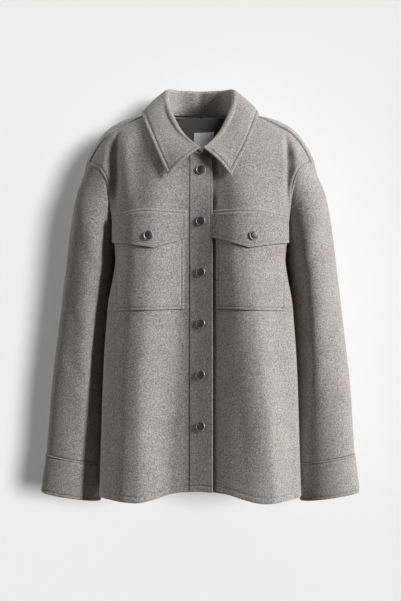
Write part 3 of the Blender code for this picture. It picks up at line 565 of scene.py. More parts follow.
def front_point(u, v, side):
    """Outer face of a front: u from centre to side, v from hem to shoulder."""
    u, v = np.broadcast_arrays(np.asarray(u, float), np.asarray(v, float))
    inner_x = BAND_INNER if side < 0 else -UNDERLAP
    start = neck_step(inner_x)
    hem_z = FRONT_HEM[0][1]
    share, depth = across(u, 4.6 - 2.6 * smooth(12.0, 22.0, v))
    ends = (inner_x, hem_z, at(NECK, start)[2])
    inner = centre_line(v, share, ends, FRONT_DEPTH, start, FRONT_NECK_ROW)
    armhole = at(ARMHOLE, 0.5 * (v - ARM_ROW) / (TOP_ROW - ARM_ROW))
    outer = np.where((v <= ARM_ROW)[..., None], side_point(v), armhole)
    x, y, z = panel_place(inner, outer, share, depth)
    body_share = np.maximum(x, 0.0) / outer[..., 0]
    hem_fade = 1.0 - smooth(0.0, HEM_FADE_ROW, v)
    straight = hem_z + (FRONT_HEM[-1][1] - hem_z) * share
    z = z + (at(FRONT_HEM, body_share) - straight) * hem_fade
    z = z + at(SHOULDER_SEAM, share) * smooth(17.0, TOP_ROW, v)
    x = x + EDGE_FULLNESS * (1.0 - np.abs(u) ** 8) * bump(u, 0.90, 0.14) * (1.0 - smooth(9.5, 12.3, v))
    # Chest fullness, the waves and the fold beside the armhole
    edge_fade = 1.0 - (1.0 - smooth(0.0, 0.3, share)) * smooth(16.5, 18.0, v)
    full = np.sin(math.pi * np.minimum(body_share, 1.0)) ** 2 * edge_fade
    y = y - CHEST_FULLNESS * np.sin(math.pi * smooth(13.0, TOP_ROW, v)) * full
    y = y - front_wave(side * x, z)
    fold_x = ARM_FOLD_X[side]
    arm_fold = ARM_FOLD_DEPTH * smooth(fold_x - 0.003, fold_x + 0.006, x) * bump(x, fold_x, ARM_FOLD_WIDTH)
    arm_fold = arm_fold - ARM_RIDGE_HEIGHT * bump(x, ARM_RIDGE_X, ARM_RIDGE_WIDTH)
    y = y + arm_fold * between(ARM_FOLD_ROWS, v) * (1.0 - np.abs(share) ** 8)
    if side < 0:
        y = y - ARM_LIP_HEIGHT * bump(x, ARM_LIP_X, ARM_LIP_WIDTH) * between(ARM_LIP_ROWS, v)
    # The under front is set in below the band
    if side > 0:
        y = y + (BAND_CLOTH + REST_GAP) * (1.0 - smooth(BAND_FREE + 0.002, BAND_FREE + 0.042, x))
        y = y + BAND_DIP * bump(x, BAND_FREE - 0.001, BAND_DIP_WIDTH) * (1.0 - smooth(15.0, 17.5, v))
    # Finer folds fade out at the seams
    quiet = smooth(0.02, 0.14, u) * (1.0 - smooth(0.90, 0.985, u)) * (1.0 - smooth(22.3, 23.6, v))
    folds = FRONT_FOLDS["left" if side > 0 else "right"]
    y = y - fold_relief(x, z, folds) * quiet
    return point(side * x, y - SEAM_GAP / 2.0, z)


def back_point(u, v, side):
    """Outer face of half of the back."""
    u, v = np.broadcast_arrays(np.asarray(u, float), np.asarray(v, float))
    hem_z = BACK_HEM[0][1]
    share, depth = across(u, 3.0 - 1.0 * smooth(14.0, 23.0, v))
    inner = centre_line(v, share, (0.0, hem_z, NECK[0][3]), BACK_DEPTH, 0.0, BACK_NECK_ROW)
    armhole = at(ARMHOLE, 1.0 - 0.5 * (v - ARM_ROW) / (TOP_ROW - ARM_ROW))
    outer = np.where((v <= ARM_ROW)[..., None], side_point(v), armhole)
    x, y, z = panel_place(inner, outer, share, depth)
    level = np.minimum(np.abs(share), 1.0)
    hem_fade = 1.0 - smooth(0.0, HEM_FADE_ROW, v)
    straight = hem_z + (BACK_HEM[-1][1] - hem_z) * share
    z = z + (at(BACK_HEM, level) - straight) * hem_fade
    past_crest = np.clip((v - CREST_ROW) / (TOP_ROW - CREST_ROW), 0.0, 1.0) ** 2
    z = z + at(SHOULDER_CREST, level) * smooth(17.5, CREST_ROW, v) * (1.0 - past_crest)
    z = z + at(SHOULDER_SEAM, level) * past_crest
    y = y + BACK_FULLNESS * np.sin(math.pi * smooth(13.0, TOP_ROW, v)) * np.sin(math.pi * level)
    # Soft hanging folds of the back
    hang = 1.0 - smooth(2.0, 14.0, v)
    y = y + BACK_HANG * hang * bump(level, 0.56, 0.22) * (1.0 - level ** 6)
    y = y - BACK_HOLLOW * hang * bump(level, 0.0, 0.25)
    quiet = (1.0 - smooth(0.88, 0.98, np.abs(u))) * (1.0 - smooth(22.0, 23.5, v))
    y = y + fold_relief(side * x, z, BACK_FOLDS) * quiet
    return point(side * x, y + SEAM_GAP / 2.0, z)


def sleeve_frame(phi, step, table, extra=0.0):
    """Points of a sleeve or cuff section, with extra width on its outer side."""
    inner_x, outer_x, inner_z, outer_z, middle_y, half_depth = np.moveaxis(at(table, step), -1, 0)
    outer_x = outer_x + extra
    reach = (1.0 - np.cos(2.0 * math.pi * phi)) / 2.0
    x = inner_x + (outer_x - inner_x) * reach
    y = middle_y - half_depth * signed_power(np.sin(2.0 * math.pi * phi), 0.85)
    z = inner_z + (outer_z - inner_z) * reach
    return point(x, y, z)


def sleeve_point(phi, step, side):
    """Outer face of the sleeve from the armhole seam, step 0, to the cuff seam, step 1."""
    phi, step = np.broadcast_arrays(np.asarray(phi, float), np.asarray(step, float))
    sections = [at(ARMHOLE, phi)]
    steps = [0.0]
    for row in SLEEVE:
        extra = LEFT_SLEEVE_EASE * math.sin(math.pi * row[0]) if side > 0 else 0.0
        sections.append(sleeve_frame(phi, np.full(phi.shape, row[0]), SLEEVE, extra))
        steps.append(row[0])
    face = section_curve(np.array(steps), np.stack(sections), step)
    bend = bump(step, 0.52, 0.10) - 0.8 * bump(step, 0.62, 0.07) + 0.6 * bump(step, 0.74, 0.07)
    y = face[..., 1] - ELBOW_BEND * bend * np.sin(2.0 * math.pi * phi)
    return point(side * face[..., 0], y, face[..., 2])


def section_curve(steps, sections, where):
    """Smooth points between sections that have a point for each place of an array."""

    def pick(index):
        return np.take_along_axis(sections, index[None, ..., None], axis=0)[0]

    return smooth_between(steps, where, pick)


def cuff_point(phi, step, side):
    """Outer face of a cuff from its seam, step 0, to its edge, step 1."""
    phi, step = np.broadcast_arrays(np.asarray(phi, float), np.asarray(step, float))
    face = sleeve_frame(phi, step, CUFF)
    return point(side * face[..., 0], face[..., 1], face[..., 2])


def surface_normal(surface, u, v, turn):
    """Unit normals of a surface by small differences, turned by 1 or -1."""
    h = NORMAL_STEP
    along_u = surface(u + h, v) - surface(u - h, v)
    along_v = surface(u, v + h) - surface(u, v - h)
    return unit(np.cross(along_u, along_v) * turn)


def band_point(x, z):
    """Over front's centre edge carried on across the band, at some places."""
    x, z = np.broadcast_arrays(np.asarray(x, float), np.asarray(z, float))
    hem_z = FRONT_HEM[0][1]
    neck_z = at(NECK, neck_step(BAND_INNER))[2]
    low = ARM_ROW * (z - hem_z) / (CHEST_Z - hem_z)
    high = ARM_ROW + (FRONT_NECK_ROW - ARM_ROW) * (z - CHEST_Z) / (neck_z - CHEST_Z)
    row = np.clip(np.where(z <= CHEST_Z, low, high), 0.0, FRONT_NECK_ROW)
    seam_y = front_point(0.0, row, -1)[..., 1]
    return point(x, seam_y + front_wave(-BAND_INNER, z) - front_wave(x, z), z)


def band_axis(x, z):
    """Outward direction of the band at some places."""
    h = NORMAL_STEP
    along = band_point(x + h, z) - band_point(x - h, z)
    return unit(np.cross(along, band_point(x, z + h) - band_point(x, z - h)))


def locate(surface, x, z, u_guess=0.5, v_guess=14.0):
    """Panel steps at some x and z."""
    u = np.full(np.shape(x), u_guess)
    v = np.full(np.shape(x), v_guess)
    h = 0.01
    for _ in range(14):
        here = surface(u, v)
        along_u = (surface(u + h, v) - surface(u - h, v)) / (2.0 * h)
        along_v = (surface(u, v + h) - surface(u, v - h)) / (2.0 * h)
        area = along_u[..., 0] * along_v[..., 2] - along_v[..., 0] * along_u[..., 2]
        area = np.where(np.abs(area) < 1e-9, 1e-9, area)
        off_x = x - here[..., 0]
        off_z = z - here[..., 2]
        move_u = (off_x * along_v[..., 2] - along_v[..., 0] * off_z) / area
        move_v = (along_u[..., 0] * off_z - off_x * along_u[..., 2]) / area
        u = np.clip(u + np.clip(move_u, -0.12, 0.12), -0.05, 0.99)
        v = np.clip(v + np.clip(move_v, -1.5, 1.5), 0.0, TOP_ROW)
    return u, v


def edge_lines(stitches=(), reach=0.0):
    """Distances of grid lines in from an edge, close together at its rounding and at rows of stitches."""
    lines = list(RIM_LINES)
    for middle in stitches:
        lines += [middle + off for off in GROOVE_LINES]
    lines.append(max(lines[-1], reach) + 0.0016)
    kept = [0.0]
    for line in sorted(lines):
        if line - kept[-1] > 0.00014:
            kept.append(line)
    return np.array(kept)


def resample(points, start, end, count):
    """Grid columns moved along each row to set distances in from both ends, evenly spread between."""
    steps = np.linalg.norm(np.diff(points, axis=0), axis=-1)
    length = np.concatenate([np.zeros((1, points.shape[1])), np.cumsum(steps, axis=0)])
    rows = []
    for j in range(points.shape[1]):
        total = length[-1, j]
        middle = np.linspace(start[-1], total - end[-1], count + 2)[1:-1]
        where = np.concatenate([start, middle, total - end[::-1]])
        rows.append(np.stack([np.interp(where, length[:, j], points[:, j, c]) for c in range(3)], axis=-1))
    return np.stack(rows, axis=1)


def resample_rows(points, start, end, count):
    """Grid rows moved along each column in the same way."""
    return np.swapaxes(resample(np.swapaxes(points, 0, 1), start, end, count), 0, 1)


def grid_normals(face, turn, wrap=False):
    """Unit normals of a grid of points."""
    along_u = np.gradient(face, axis=0)
    if wrap:
        joined = face[1] - face[-2]
        along_u[0] = joined
        along_u[-1] = joined
    return unit(np.cross(along_u, np.gradient(face, axis=1)) * turn)


def edge_distances(face):
    """Distances along a grid from its first and last column, and from its first and last row."""
    found = []
    for axis in (0, 1):
        steps = np.linalg.norm(np.diff(face, axis=axis), axis=-1)
        pad = [(0, 0), (0, 0)]
        pad[axis] = (1, 0)
        length = np.pad(np.cumsum(steps, axis=axis), pad)
        found += [length, np.take(length, [-1], axis=axis) - length]
    return found


def stitched(distance, stitches, puff, depth=GROOVE_DEPTH):
    """Height of a sewn edge: a narrow groove at each row of stitches, and fuller cloth between."""
    height = np.zeros(distance.shape)
    last = 0.0
    for middle in stitches:
        span = middle - last
        inside = np.clip((distance - last) / span, 0.0, 1.0)
        height = height + puff * np.sin(math.pi * inside) ** 2
        height = height - depth * bump(distance, middle, GROOVE_WIDTH)
        last = middle
    return height + 0.6 * puff * bump(distance, last + 0.0045, 0.0028) * (distance > last)


def skins(face, normals, thickness, rim, relief):
    """Outer and inner points of a sheet whose edges are round."""
    half = thickness / 2.0
    round_off = half * np.sqrt(1.0 - (1.0 - np.clip(rim / half, 0.0, 1.0)) ** 2)
    relief = relief * smooth(0.0, RELIEF_FADE, rim)
    middle = face - normals * half
    outer = middle + normals * (round_off + relief)[..., None]
    inner = middle - normals * (round_off + 0.4 * np.minimum(relief, 0.0))[..., None]
    return outer, inner


def plain_skins(dense, counts, turn, thickness):
    """Outer and inner points of a sheet without sewing."""
    face = resample(dense, edge_lines(), edge_lines(), counts[0])
    face = resample_rows(face, edge_lines(), edge_lines(), counts[1])
    rim = np.minimum.reduce(edge_distances(face))
    return skins(face, grid_normals(face, turn), thickness, rim, np.zeros(rim.shape))


def add_skin(builder, skin, flip):
    """Grid of faces through some points."""
    columns, rows = skin.shape[:2]
    made = bmesh.ops.create_grid(builder, x_segments=columns - 1, y_segments=rows - 1, size=1.0)["verts"]
    for vertex in made:
        i = round((vertex.co.x + 1.0) / 2.0 * (columns - 1))
        j = round((vertex.co.y + 1.0) / 2.0 * (rows - 1))
        vertex.co = skin[i, j]
    if flip:
        faces = list({f for vertex in made for f in vertex.link_faces})
        bmesh.ops.reverse_faces(builder, faces=faces)


def finish_piece(builder, name, material, nodes=()):
    """Turn a bmesh into a piece that rides on the jacket."""
    mesh = bpy.data.meshes.new(name)
    builder.to_mesh(mesh)
    builder.free()
    mesh.polygons.foreach_set("use_smooth", np.ones(len(mesh.polygons), bool))
    piece = bpy.data.objects.new(name, mesh)
    mesh.materials.append(material)
    bpy.context.scene.collection.objects.link(piece)
    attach(piece, "root")
    if nodes:
        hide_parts(*nodes)
    return piece


def cloth_piece(name, node, skins_and_turns, kind):
    """Closed sheet from outer and inner points."""
    builder = bmesh.new()
    for outer, inner, turn in skins_and_turns:
        add_skin(builder, outer, turn < 0)
        add_skin(builder, inner, turn > 0)
    bmesh.ops.remove_doubles(builder, verts=builder.verts, dist=MERGE_DISTANCE)
    piece = finish_piece(builder, name, finish_material(kind), (node,))
    return piece


def sew(builder, path, normals, sizes):
    """Row of stitches that lie in their groove along a path."""
    steps = np.linalg.norm(np.diff(path, axis=0), axis=-1)
    length = np.concatenate([[0.0], np.cumsum(steps)])
    count = int(length[-1] // sizes.stitch_pitch)
    half = sizes.stitch_pitch * STITCH_HALF
    radius = sizes.stitch_width / 2.0

    def along(where, values):
        return Vector([np.interp(where, length, values[:, c]) for c in range(3)])

    for k in range(count):
        middle = (k + 0.5) * length[-1] / count
        run = (along(middle + half, path) - along(middle - half, path)).normalized()
        up = along(middle, normals)
        side = up.cross(run).normalized()
        up = run.cross(side)
        place = along(middle, path) + up * (radius * STITCH_RISE)
        turn = Matrix((side * radius, up * radius, run * half)).transposed().to_4x4()
        bmesh.ops.create_uvsphere(
            builder, u_segments=6, v_segments=4, radius=1.0, matrix=Matrix.Translation(place) @ turn,
        )


def thread_piece(name, rows, sizes):
    """All stitches of some rows as one piece."""
    builder = bmesh.new()
    for path, normals in rows:
        sew(builder, path, normals, sizes)
    return finish_piece(builder, name, finish_material("thread"))


def snap_bar(outer, normals, x, z):
    """Path and normals of the bar of stitches above a snap."""
    middle = outer.shape[1] // 2
    column = int(np.argmin(np.abs(outer[:, middle, 0] - x)))
    heights = z + BAR_RISE + np.linspace(0.0, BAR_LENGTH, 6)
    path = np.stack([np.interp(heights, outer[column, :, 2], outer[column, :, c]) for c in range(3)], axis=-1)
    return path, np.repeat(normals[column, middle][None], 6, axis=0)


def stitch_rows(outer, normals, *places):
    """Path and normals of rows of stitches, by their places in a grid."""
    return [(outer[place], normals[place]) for place in places]


def nearest_line(distance, middle):
    """Index of the grid line at a distance in from an edge."""
    return int(np.argmin(np.abs(distance - middle)))


class Value:
    """A shader value whose sums add Math nodes."""

    def __init__(self, graph, socket):
        self.graph = graph
        self.socket = socket

    def combine(self, operation, first, second):
        node = self.graph.node("ShaderNodeMath", {"operation": operation}, {0: first, 1: second})
        return Value(self.graph, node.outputs[0])

    def __add__(self, other):
        return self.combine("ADD", self, other)

    __radd__ = __add__

    def __sub__(self, other):
        return self.combine("SUBTRACT", self, other)

    def __rsub__(self, other):
        return self.combine("SUBTRACT", other, self)

    def __mul__(self, other):
        return self.combine("MULTIPLY", self, other)

    __rmul__ = __mul__


class Graph:
    """Nodes of one material."""

    def __init__(self, name):
        self.material = bpy.data.materials.new(name)
        self.material.use_nodes = True
        self.tree = self.material.node_tree
        self.shader = self.tree.nodes["Principled BSDF"]

    def node(self, kind, settings=None, sockets=None):
        """Any node: its settings are set first, then its sockets get values or links."""
        node = self.tree.nodes.new(kind)
        for key, value in (settings or {}).items():
            if key == "stops":
                while len(node.color_ramp.elements) < len(value):
                    node.color_ramp.elements.new(1.0)
                for stop, (place, colour) in zip(node.color_ramp.elements, value):
                    stop.position = place
                    stop.color = (*colour[:3], 1.0)
            else:
                setattr(node, key, value)
        self.set(node, sockets or {})
        return node

    def set(self, node, sockets):
        """Give a node's sockets values or links."""
        for key, value in sockets.items():
            if isinstance(value, Value):
                self.tree.links.new(value.socket, node.inputs[key])
            elif isinstance(value, bpy.types.NodeSocket):
                self.tree.links.new(value, node.inputs[key])
            else:
                node.inputs[key].default_value = value

    def place(self):
        """Object coordinates."""
        return self.node("ShaderNodeTexCoord").outputs["Object"]

    def stretched(self, turn, scale):
        """Object coordinates turned, then scaled."""
        settings = {"vector_type": "POINT"}
        sockets = {"Vector": self.place(), "Rotation": turn, "Scale": scale}
        return self.node("ShaderNodeMapping", settings, sockets).outputs["Vector"]

    def noise(self, scale, detail=2.0, roughness=0.5, vector=None, distortion=0.0):
        """Noise from 0 to 1."""
        sockets = {
            "Vector": vector or self.place(), "Scale": scale, "Detail": detail,
            "Roughness": roughness, "Distortion": distortion,
        }
        return Value(self, self.node("ShaderNodeTexNoise", None, sockets).outputs["Fac"])

    def ramp(self, value, stops):
        """Colour from a value."""
        return self.node("ShaderNodeValToRGB", {"stops": stops}, {"Fac": value}).outputs["Color"]

    def bump(self, height, strength, distance):
        """Small relief on the shader's normal."""
        sockets = {"Height": height, "Strength": strength, "Distance": distance}
        self.set(self.shader, {"Normal": self.node("ShaderNodeBump", None, sockets).outputs["Normal"]})


def shade(colour, factor):
    """A colour made lighter or darker."""
    return (*[min(c * factor, 1.0) for c in colour[:3]], 1.0)


def wool_finish(name, colour, contrast):
    """Fulled melange wool: dark and light flecks, crossed fibres and a soft nap."""
    graph = Graph(name)
    fleck = graph.noise(430.0, 2.0, 0.55)
    grain = graph.noise(1050.0, 2.0, 0.6)
    cloud = graph.noise(26.0, 2.0, 0.5)
    first = graph.noise(1.0, 1.0, 0.5, graph.stretched((0.3, 0.5, 0.4), (300.0, 1500.0, 1500.0)), 0.6)
    second = graph.noise(1.0, 1.0, 0.5, graph.stretched((0.2, 1.2, 2.0), (1500.0, 300.0, 1500.0)), 0.6)
    fibre = first + second
    mixed = (fleck - 0.5) * (1.5 * contrast) + (grain - 0.5) * (0.9 * contrast)
    mixed = mixed + (fibre - 1.0) * (0.55 * contrast) + (cloud - 0.5) * 0.16 + 0.5
    stops = (
        (0.10, shade(colour, 0.30)),
        (0.36, shade(colour, 0.78)),
        (0.62, shade(colour, 1.14)),
        (0.90, shade(colour, 1.75)),
    )
    graph.set(graph.shader, {
        "Base Color": graph.ramp(mixed, stops),
        "Roughness": fibre * 0.08 + 0.84,
        "Specular IOR Level": 0.15,
        "Sheen Weight": 0.12,
        "Sheen Roughness": 0.55,
        "Sheen Tint": shade(colour, 2.2),
    })
    graph.bump(fleck * 0.5 + fibre * 0.35 + grain * 0.4, 0.55, 0.0011)
    return graph.material


def facing_finish(name, colour):
    """Dark lining cloth with a fine diagonal rib."""
    graph = Graph(name)
    vector = graph.stretched((0.0, 0.8, 0.0), (1.0, 1.0, 1.0))
    settings = {"wave_type": "BANDS", "bands_direction": "X"}
    sockets = {"Vector": vector, "Scale": 260.0, "Distortion": 0.4, "Detail": 1.0}
    rib = Value(graph, graph.node("ShaderNodeTexWave", settings, sockets).outputs["Fac"])
    grain = graph.noise(900.0, 2.0, 0.6)
    stops = ((0.15, shade(colour, 0.6)), (0.55, colour), (0.95, shade(colour, 1.7)))
    graph.set(graph.shader, {
        "Base Color": graph.ramp(rib * 0.35 + grain * 0.65, stops),
        "Roughness": grain * 0.15 + 0.68,
        "Sheen Weight": 0.08,
    })
    graph.bump(rib + grain * 0.5, 0.35, 0.0003)
    return graph.material


def label_finish(name, colour):
    """Pale woven ribbon, ribbed across."""
    graph = Graph(name)
    settings = {"wave_type": "BANDS", "bands_direction": "Z"}
    sockets = {"Vector": graph.place(), "Scale": 420.0}
    rib = Value(graph, graph.node("ShaderNodeTexWave", settings, sockets).outputs["Fac"])
    grain = graph.noise(700.0, 3.0, 0.6)
    stops = ((0.1, shade(colour, 0.82)), (0.6, colour), (1.0, shade(colour, 1.12)))
    graph.set(graph.shader, {
        "Base Color": graph.ramp(rib * 0.3 + grain * 0.7, stops),
        "Roughness": grain * 0.2 + 0.55,
        "Sheen Weight": 0.15,
    })
    graph.bump(rib + grain * 0.4, 0.3, 0.0002)
    return graph.material


def metal_finish(name, colour, roughness):
    """Plated metal with fine scuffs."""
    graph = Graph(name)
    scuff = graph.noise(1.0, 3.0, 0.6, graph.stretched((0.0, 0.4, 0.0), (900.0, 900.0, 160.0)))
    worn = graph.noise(320.0, 3.0, 0.6)
    stops = ((0.25, shade(colour, 0.72)), (0.6, colour), (0.85, shade(colour, 1.35)))
    graph.set(graph.shader, {
        "Base Color": graph.ramp(worn * 0.6 + scuff * 0.4, stops),
        "Roughness": scuff * 0.22 + (roughness - 0.11),
        "Metallic": 1.0,
    })
    graph.bump(scuff, 0.08, 0.0001)
    return graph.material


# How each finish is made, and what its maker takes besides a name and a colour
FINISHES = {
    "wool": (wool_finish, 0.88),
    "thread": (wool_finish, 0.5),
    "facing": (facing_finish,),
    "label": (label_finish,),
    "snap_ring": (metal_finish, 0.50),
    "snap_face": (metal_finish, 0.52),
}


def finish_material(kind):
    """Each finish is made once."""
    name = "jacket_" + kind
    found = bpy.data.materials.get(name)
    if found:
        return found
    maker, *values = FINISHES[kind]
    return maker(name, tuple(getattr(bpy.context.scene.jacket_colours, kind)), *values)


def row_steps(hem_stitches, middle_row, top_lines, counts):
    """Rows of a body panel: close at the hem and the shoulder, and exactly at the corners."""
    hem = edge_lines(hem_stitches) / ROW_HEIGHT
    top = TOP_ROW - top_lines[::-1] / SHOULDER_ROW_HEIGHT
    low = np.linspace(hem[-1], ARM_ROW, counts[0])[1:]
    chest = np.linspace(ARM_ROW, middle_row, counts[1])[1:]
    high = np.linspace(middle_row, top[0], counts[2])[1:-1]
    return np.concatenate([hem, low, chest, high, top])


def front_sheet(side, sizes):
    """Rows of a front, distances from its side and hem, normals, and outer and inner points."""
    rows = row_steps(HEM_STITCHES, FRONT_NECK_ROW, edge_lines(), FRONT_GRID)
    dense = front_point(np.linspace(0.0, 1.0, 421)[:, None], rows[None, :], side)
    face = resample(dense, edge_lines(), edge_lines(ARMHOLE_STITCHES), 84)
    normals = grid_normals(face, side)
    from_centre, from_side, from_hem, from_shoulder = edge_distances(face)
    at_seam = SEAM_SHARPNESS * from_centre
    rim = np.minimum.reduce([at_seam, from_side, from_hem, from_shoulder])
    relief = stitched(from_hem, HEM_STITCHES, EDGE_PUFF, GROOVE_DEPTH / 2.0)
    relief = relief + SHOULDER_DIP * (smooth(0.0, SHOULDER_DIP_REACH, from_shoulder) - 1.0)
    by_arm = smooth(ARM_ROW, ARM_ROW + ARM_FADE_ROWS, rows)[None, :]
    relief = relief + stitched(from_side, ARMHOLE_STITCHES, SEAM_PUFF) * by_arm
    outer, inner = skins(face, normals, sizes.cloth, rim, relief)
    return rows, from_side, from_hem, normals, outer, inner


class JACKET_OT_fronts(bpy.types.Operator):
    """Make both fronts with their hem and armhole stitching"""
    bl_idname = "jacket.fronts"
    bl_label = "Fronts"

    def execute(self, context):
        sizes = context.scene.jacket_sizes
        for name, side in SIDES.items():
            rows, from_side, from_hem, normals, outer, inner = front_sheet(side, sizes)
            node = "front_" + name
            cloth_piece("wool_" + node, node, [(outer, inner, side)], "wool")
            hem = nearest_line(from_hem[10], HEM_STITCHES[0])
            arm = nearest_line(from_side[:, 60], ARMHOLE_STITCHES[0]) - outer.shape[0]
            arm_rows = np.flatnonzero(rows > ARM_ROW + ARM_START_ROWS)
            lines = stitch_rows(outer, normals, np.s_[6:-4, hem], np.s_[arm, arm_rows])
            thread_piece("stitches_front_" + name, lines, sizes)
        return {"FINISHED"}


class JACKET_OT_back(bpy.types.Operator):
    """Make the back, one sheet with a notch for the neck, lapped and stitched at the shoulders"""
    bl_idname = "jacket.back"
    bl_label = "Back"

    def execute(self, context):
        sizes = context.scene.jacket_sizes
        top_lines = edge_lines(SHOULDER_STITCHES, SHOULDER_LINES_REACH)
        rows = row_steps(HEM_STITCHES, BACK_NECK_ROW, top_lines, BACK_GRID)
        halves = {}
        for side in (1, -1):
            dense = back_point(np.linspace(0.0, 1.0, 361)[:, None], rows[None, :], side)
            face = resample(dense, np.array([0.0]), edge_lines(ARMHOLE_STITCHES), 72)
            halves[side] = [face, grid_normals(face, -side)]
        whole = np.flatnonzero(rows <= BACK_NECK_ROW)
        shared = halves[1][1][0, whole] + halves[-1][1][0, whole]
        shared[:, 0] = 0.0
        pairs = []
        lines = []
        for side, (face, normals) in halves.items():
            normals[0, whole] = unit(shared)
            from_centre, from_side, from_hem, from_shoulder = edge_distances(face)
            below = np.maximum(face[0, whole[-1], 2] - face[0, :, 2], 0.0) * (rows <= BACK_NECK_ROW)
            from_neck = np.hypot(from_centre, below[None, :])
            rim = np.minimum.reduce([from_neck, from_side, from_hem, from_shoulder])
            relief = stitched(from_hem, HEM_STITCHES, EDGE_PUFF)
            by_arm = smooth(ARM_ROW, ARM_ROW + ARM_FADE_ROWS, rows)[None, :]
            relief = relief + stitched(from_side, ARMHOLE_STITCHES, EDGE_PUFF) * by_arm
            relief = relief + SHOULDER_LAP * (1.0 - smooth(*SHOULDER_LAP_REACH, from_shoulder))
            outer, inner = skins(face, normals, sizes.cloth, rim, relief)
            pairs.append((outer, inner, -side))
            hem = nearest_line(from_hem[10], HEM_STITCHES[0])
            arm = nearest_line(from_side[:, 60], ARMHOLE_STITCHES[0]) - outer.shape[0]
            arm_rows = np.flatnonzero(rows > ARM_ROW + ARM_START_ROWS)
            top = nearest_line(from_shoulder[40], SHOULDER_STITCHES[0])
            lines += stitch_rows(outer, normals, np.s_[:-4, hem], np.s_[arm, arm_rows], np.s_[6:arm, top])
        cloth_piece("wool_back", "back", pairs, "wool")
        thread_piece("stitches_back", lines, sizes)
        return {"FINISHED"}


class JACKET_OT_sleeves(bpy.types.Operator):
    """Make both sleeves with their soft folds"""
    bl_idname = "jacket.sleeves"
    bl_label = "Sleeves"

    def execute(self, context):
        sizes = context.scene.jacket_sizes
        phi = np.linspace(0.0, 1.0, 129)
        steps = np.linspace(0.0, 1.0, 420)
        for name, side in SIDES.items():
            dense = sleeve_point(phi[:, None], steps[None, :], side)
            face = resample_rows(dense, edge_lines() + SEAM_GAP, edge_lines(), 176)
            normals = grid_normals(face, -side, wrap=True)
            down, up = edge_distances(face)[2:]
            quiet = smooth(0.010, 0.040, down) * smooth(0.006, 0.030, up)
            quiet = quiet * smooth(0.0, 0.06, phi)[:, None] * smooth(0.0, 0.06, 1.0 - phi)[:, None]
            places = np.broadcast_to(phi[:, None] * SLEEVE_GIRTH, down.shape)
            height = fold_relief(places, -down, SLEEVE_FOLDS[name]) * quiet
            face = face + normals * height[..., None]
            normals = grid_normals(face, -side, wrap=True)
            rim = np.minimum(down, up)
            relief = SLEEVE_DROP * (smooth(0.0, SLEEVE_DROP_REACH, down) - 1.0)
            outer, inner = skins(face, normals, sizes.cloth, rim, relief)
            cloth_piece("wool_sleeve_" + name, "sleeve_" + name, [(outer, inner, -side)], "wool")
        return {"FINISHED"}


class JACKET_OT_cuffs(bpy.types.Operator):
    """Make both cuffs, stitched at the seam and at the edge"""
    bl_idname = "jacket.cuffs"
    bl_label = "Cuffs"

    def execute(self, context):
        sizes = context.scene.jacket_sizes
        phi = np.linspace(0.0, 1.0, 113)
        steps = np.linspace(0.0, 1.0, 160)
        for name, side in SIDES.items():
            dense = cuff_point(phi[:, None], steps[None, :], side)
            face = resample_rows(dense, edge_lines(CUFF_SEAM_STITCHES), edge_lines(CUFF_EDGE_STITCHES), 22)
            normals = grid_normals(face, -side, wrap=True)
            down, up = edge_distances(face)[2:]
            relief = stitched(down, CUFF_SEAM_STITCHES, EDGE_PUFF * 2.0, GROOVE_DEPTH * 1.4)
            relief = relief + stitched(up, CUFF_EDGE_STITCHES, EDGE_PUFF, GROOVE_DEPTH * 1.2)
            outer, inner = skins(face, normals, sizes.cuff_cloth, np.minimum(down, up), relief)
            cloth_piece("wool_cuff_" + name, "cuff_" + name, [(outer, inner, -side)], "wool")
            seam = nearest_line(down[0], CUFF_SEAM_STITCHES[0])
            edge = nearest_line(up[0], CUFF_EDGE_STITCHES[0])
            lines = stitch_rows(outer, normals, np.s_[:, seam], np.s_[:, edge])
            thread_piece("stitches_cuff_" + name, lines, sizes)
        return {"FINISHED"}


def band_face():
    """Dense outer points of the band."""
    share = np.linspace(0.0, 1.0, 25)[:, None]
    x = -BAND_INNER + SEAM_GAP + (BAND_FREE + BAND_INNER - SEAM_GAP) * share
    neck_z = at(NECK, neck_step(-x))[..., 2] - BAND_NECK_DROP
    hem_z = at(FRONT_HEM, np.abs(x) / SIDE_SEAM[0][1])
    rows = np.linspace(0.0, 1.0, 260)[None, :]
    z = hem_z + (neck_z - hem_z) * rows
    return band_point(x, z) + band_axis(x, z) * BAND_PROUD


class JACKET_OT_band(bpy.types.Operator):
    """Make the snap band, stitched along its free edge and its hem"""
    bl_idname = "jacket.band"
    bl_label = "Snap band"

    def execute(self, context):
        sizes = context.scene.jacket_sizes
        face = resample(band_face(), edge_lines(), edge_lines(BAND_STITCHES), 16)
        face = resample_rows(face, edge_lines(HEM_STITCHES), edge_lines(), 210)
        normals = grid_normals(face, 1)
        from_seam, from_free, from_hem, from_neck = edge_distances(face)
        rim = np.minimum.reduce([SEAM_SHARPNESS * from_seam, SEAM_SHARPNESS * from_free, from_hem, from_neck])
        relief = stitched(from_free, BAND_STITCHES, EDGE_PUFF / 2.0, GROOVE_DEPTH / 2.0)
        relief = relief + stitched(from_hem, HEM_STITCHES, EDGE_PUFF, GROOVE_DEPTH / 2.0)
        outer, inner = skins(face, normals, BAND_CLOTH, rim, relief)
        cloth_piece("wool_band", "button_band", [(outer, inner, 1)], "wool")
        free = nearest_line(from_free[:, 60], BAND_STITCHES[0])
        hem = nearest_line(from_hem[6], HEM_STITCHES[0])
        lines = stitch_rows(outer, normals, np.s_[free, hem:-6], np.s_[2:free, hem])
        for k in range(SNAP_COUNT):
            lines.append(snap_bar(outer, normals, SNAP_X, SNAP_TOP + SNAP_STEP * k))
        thread_piece("stitches_band", lines, sizes)
        return {"FINISHED"}


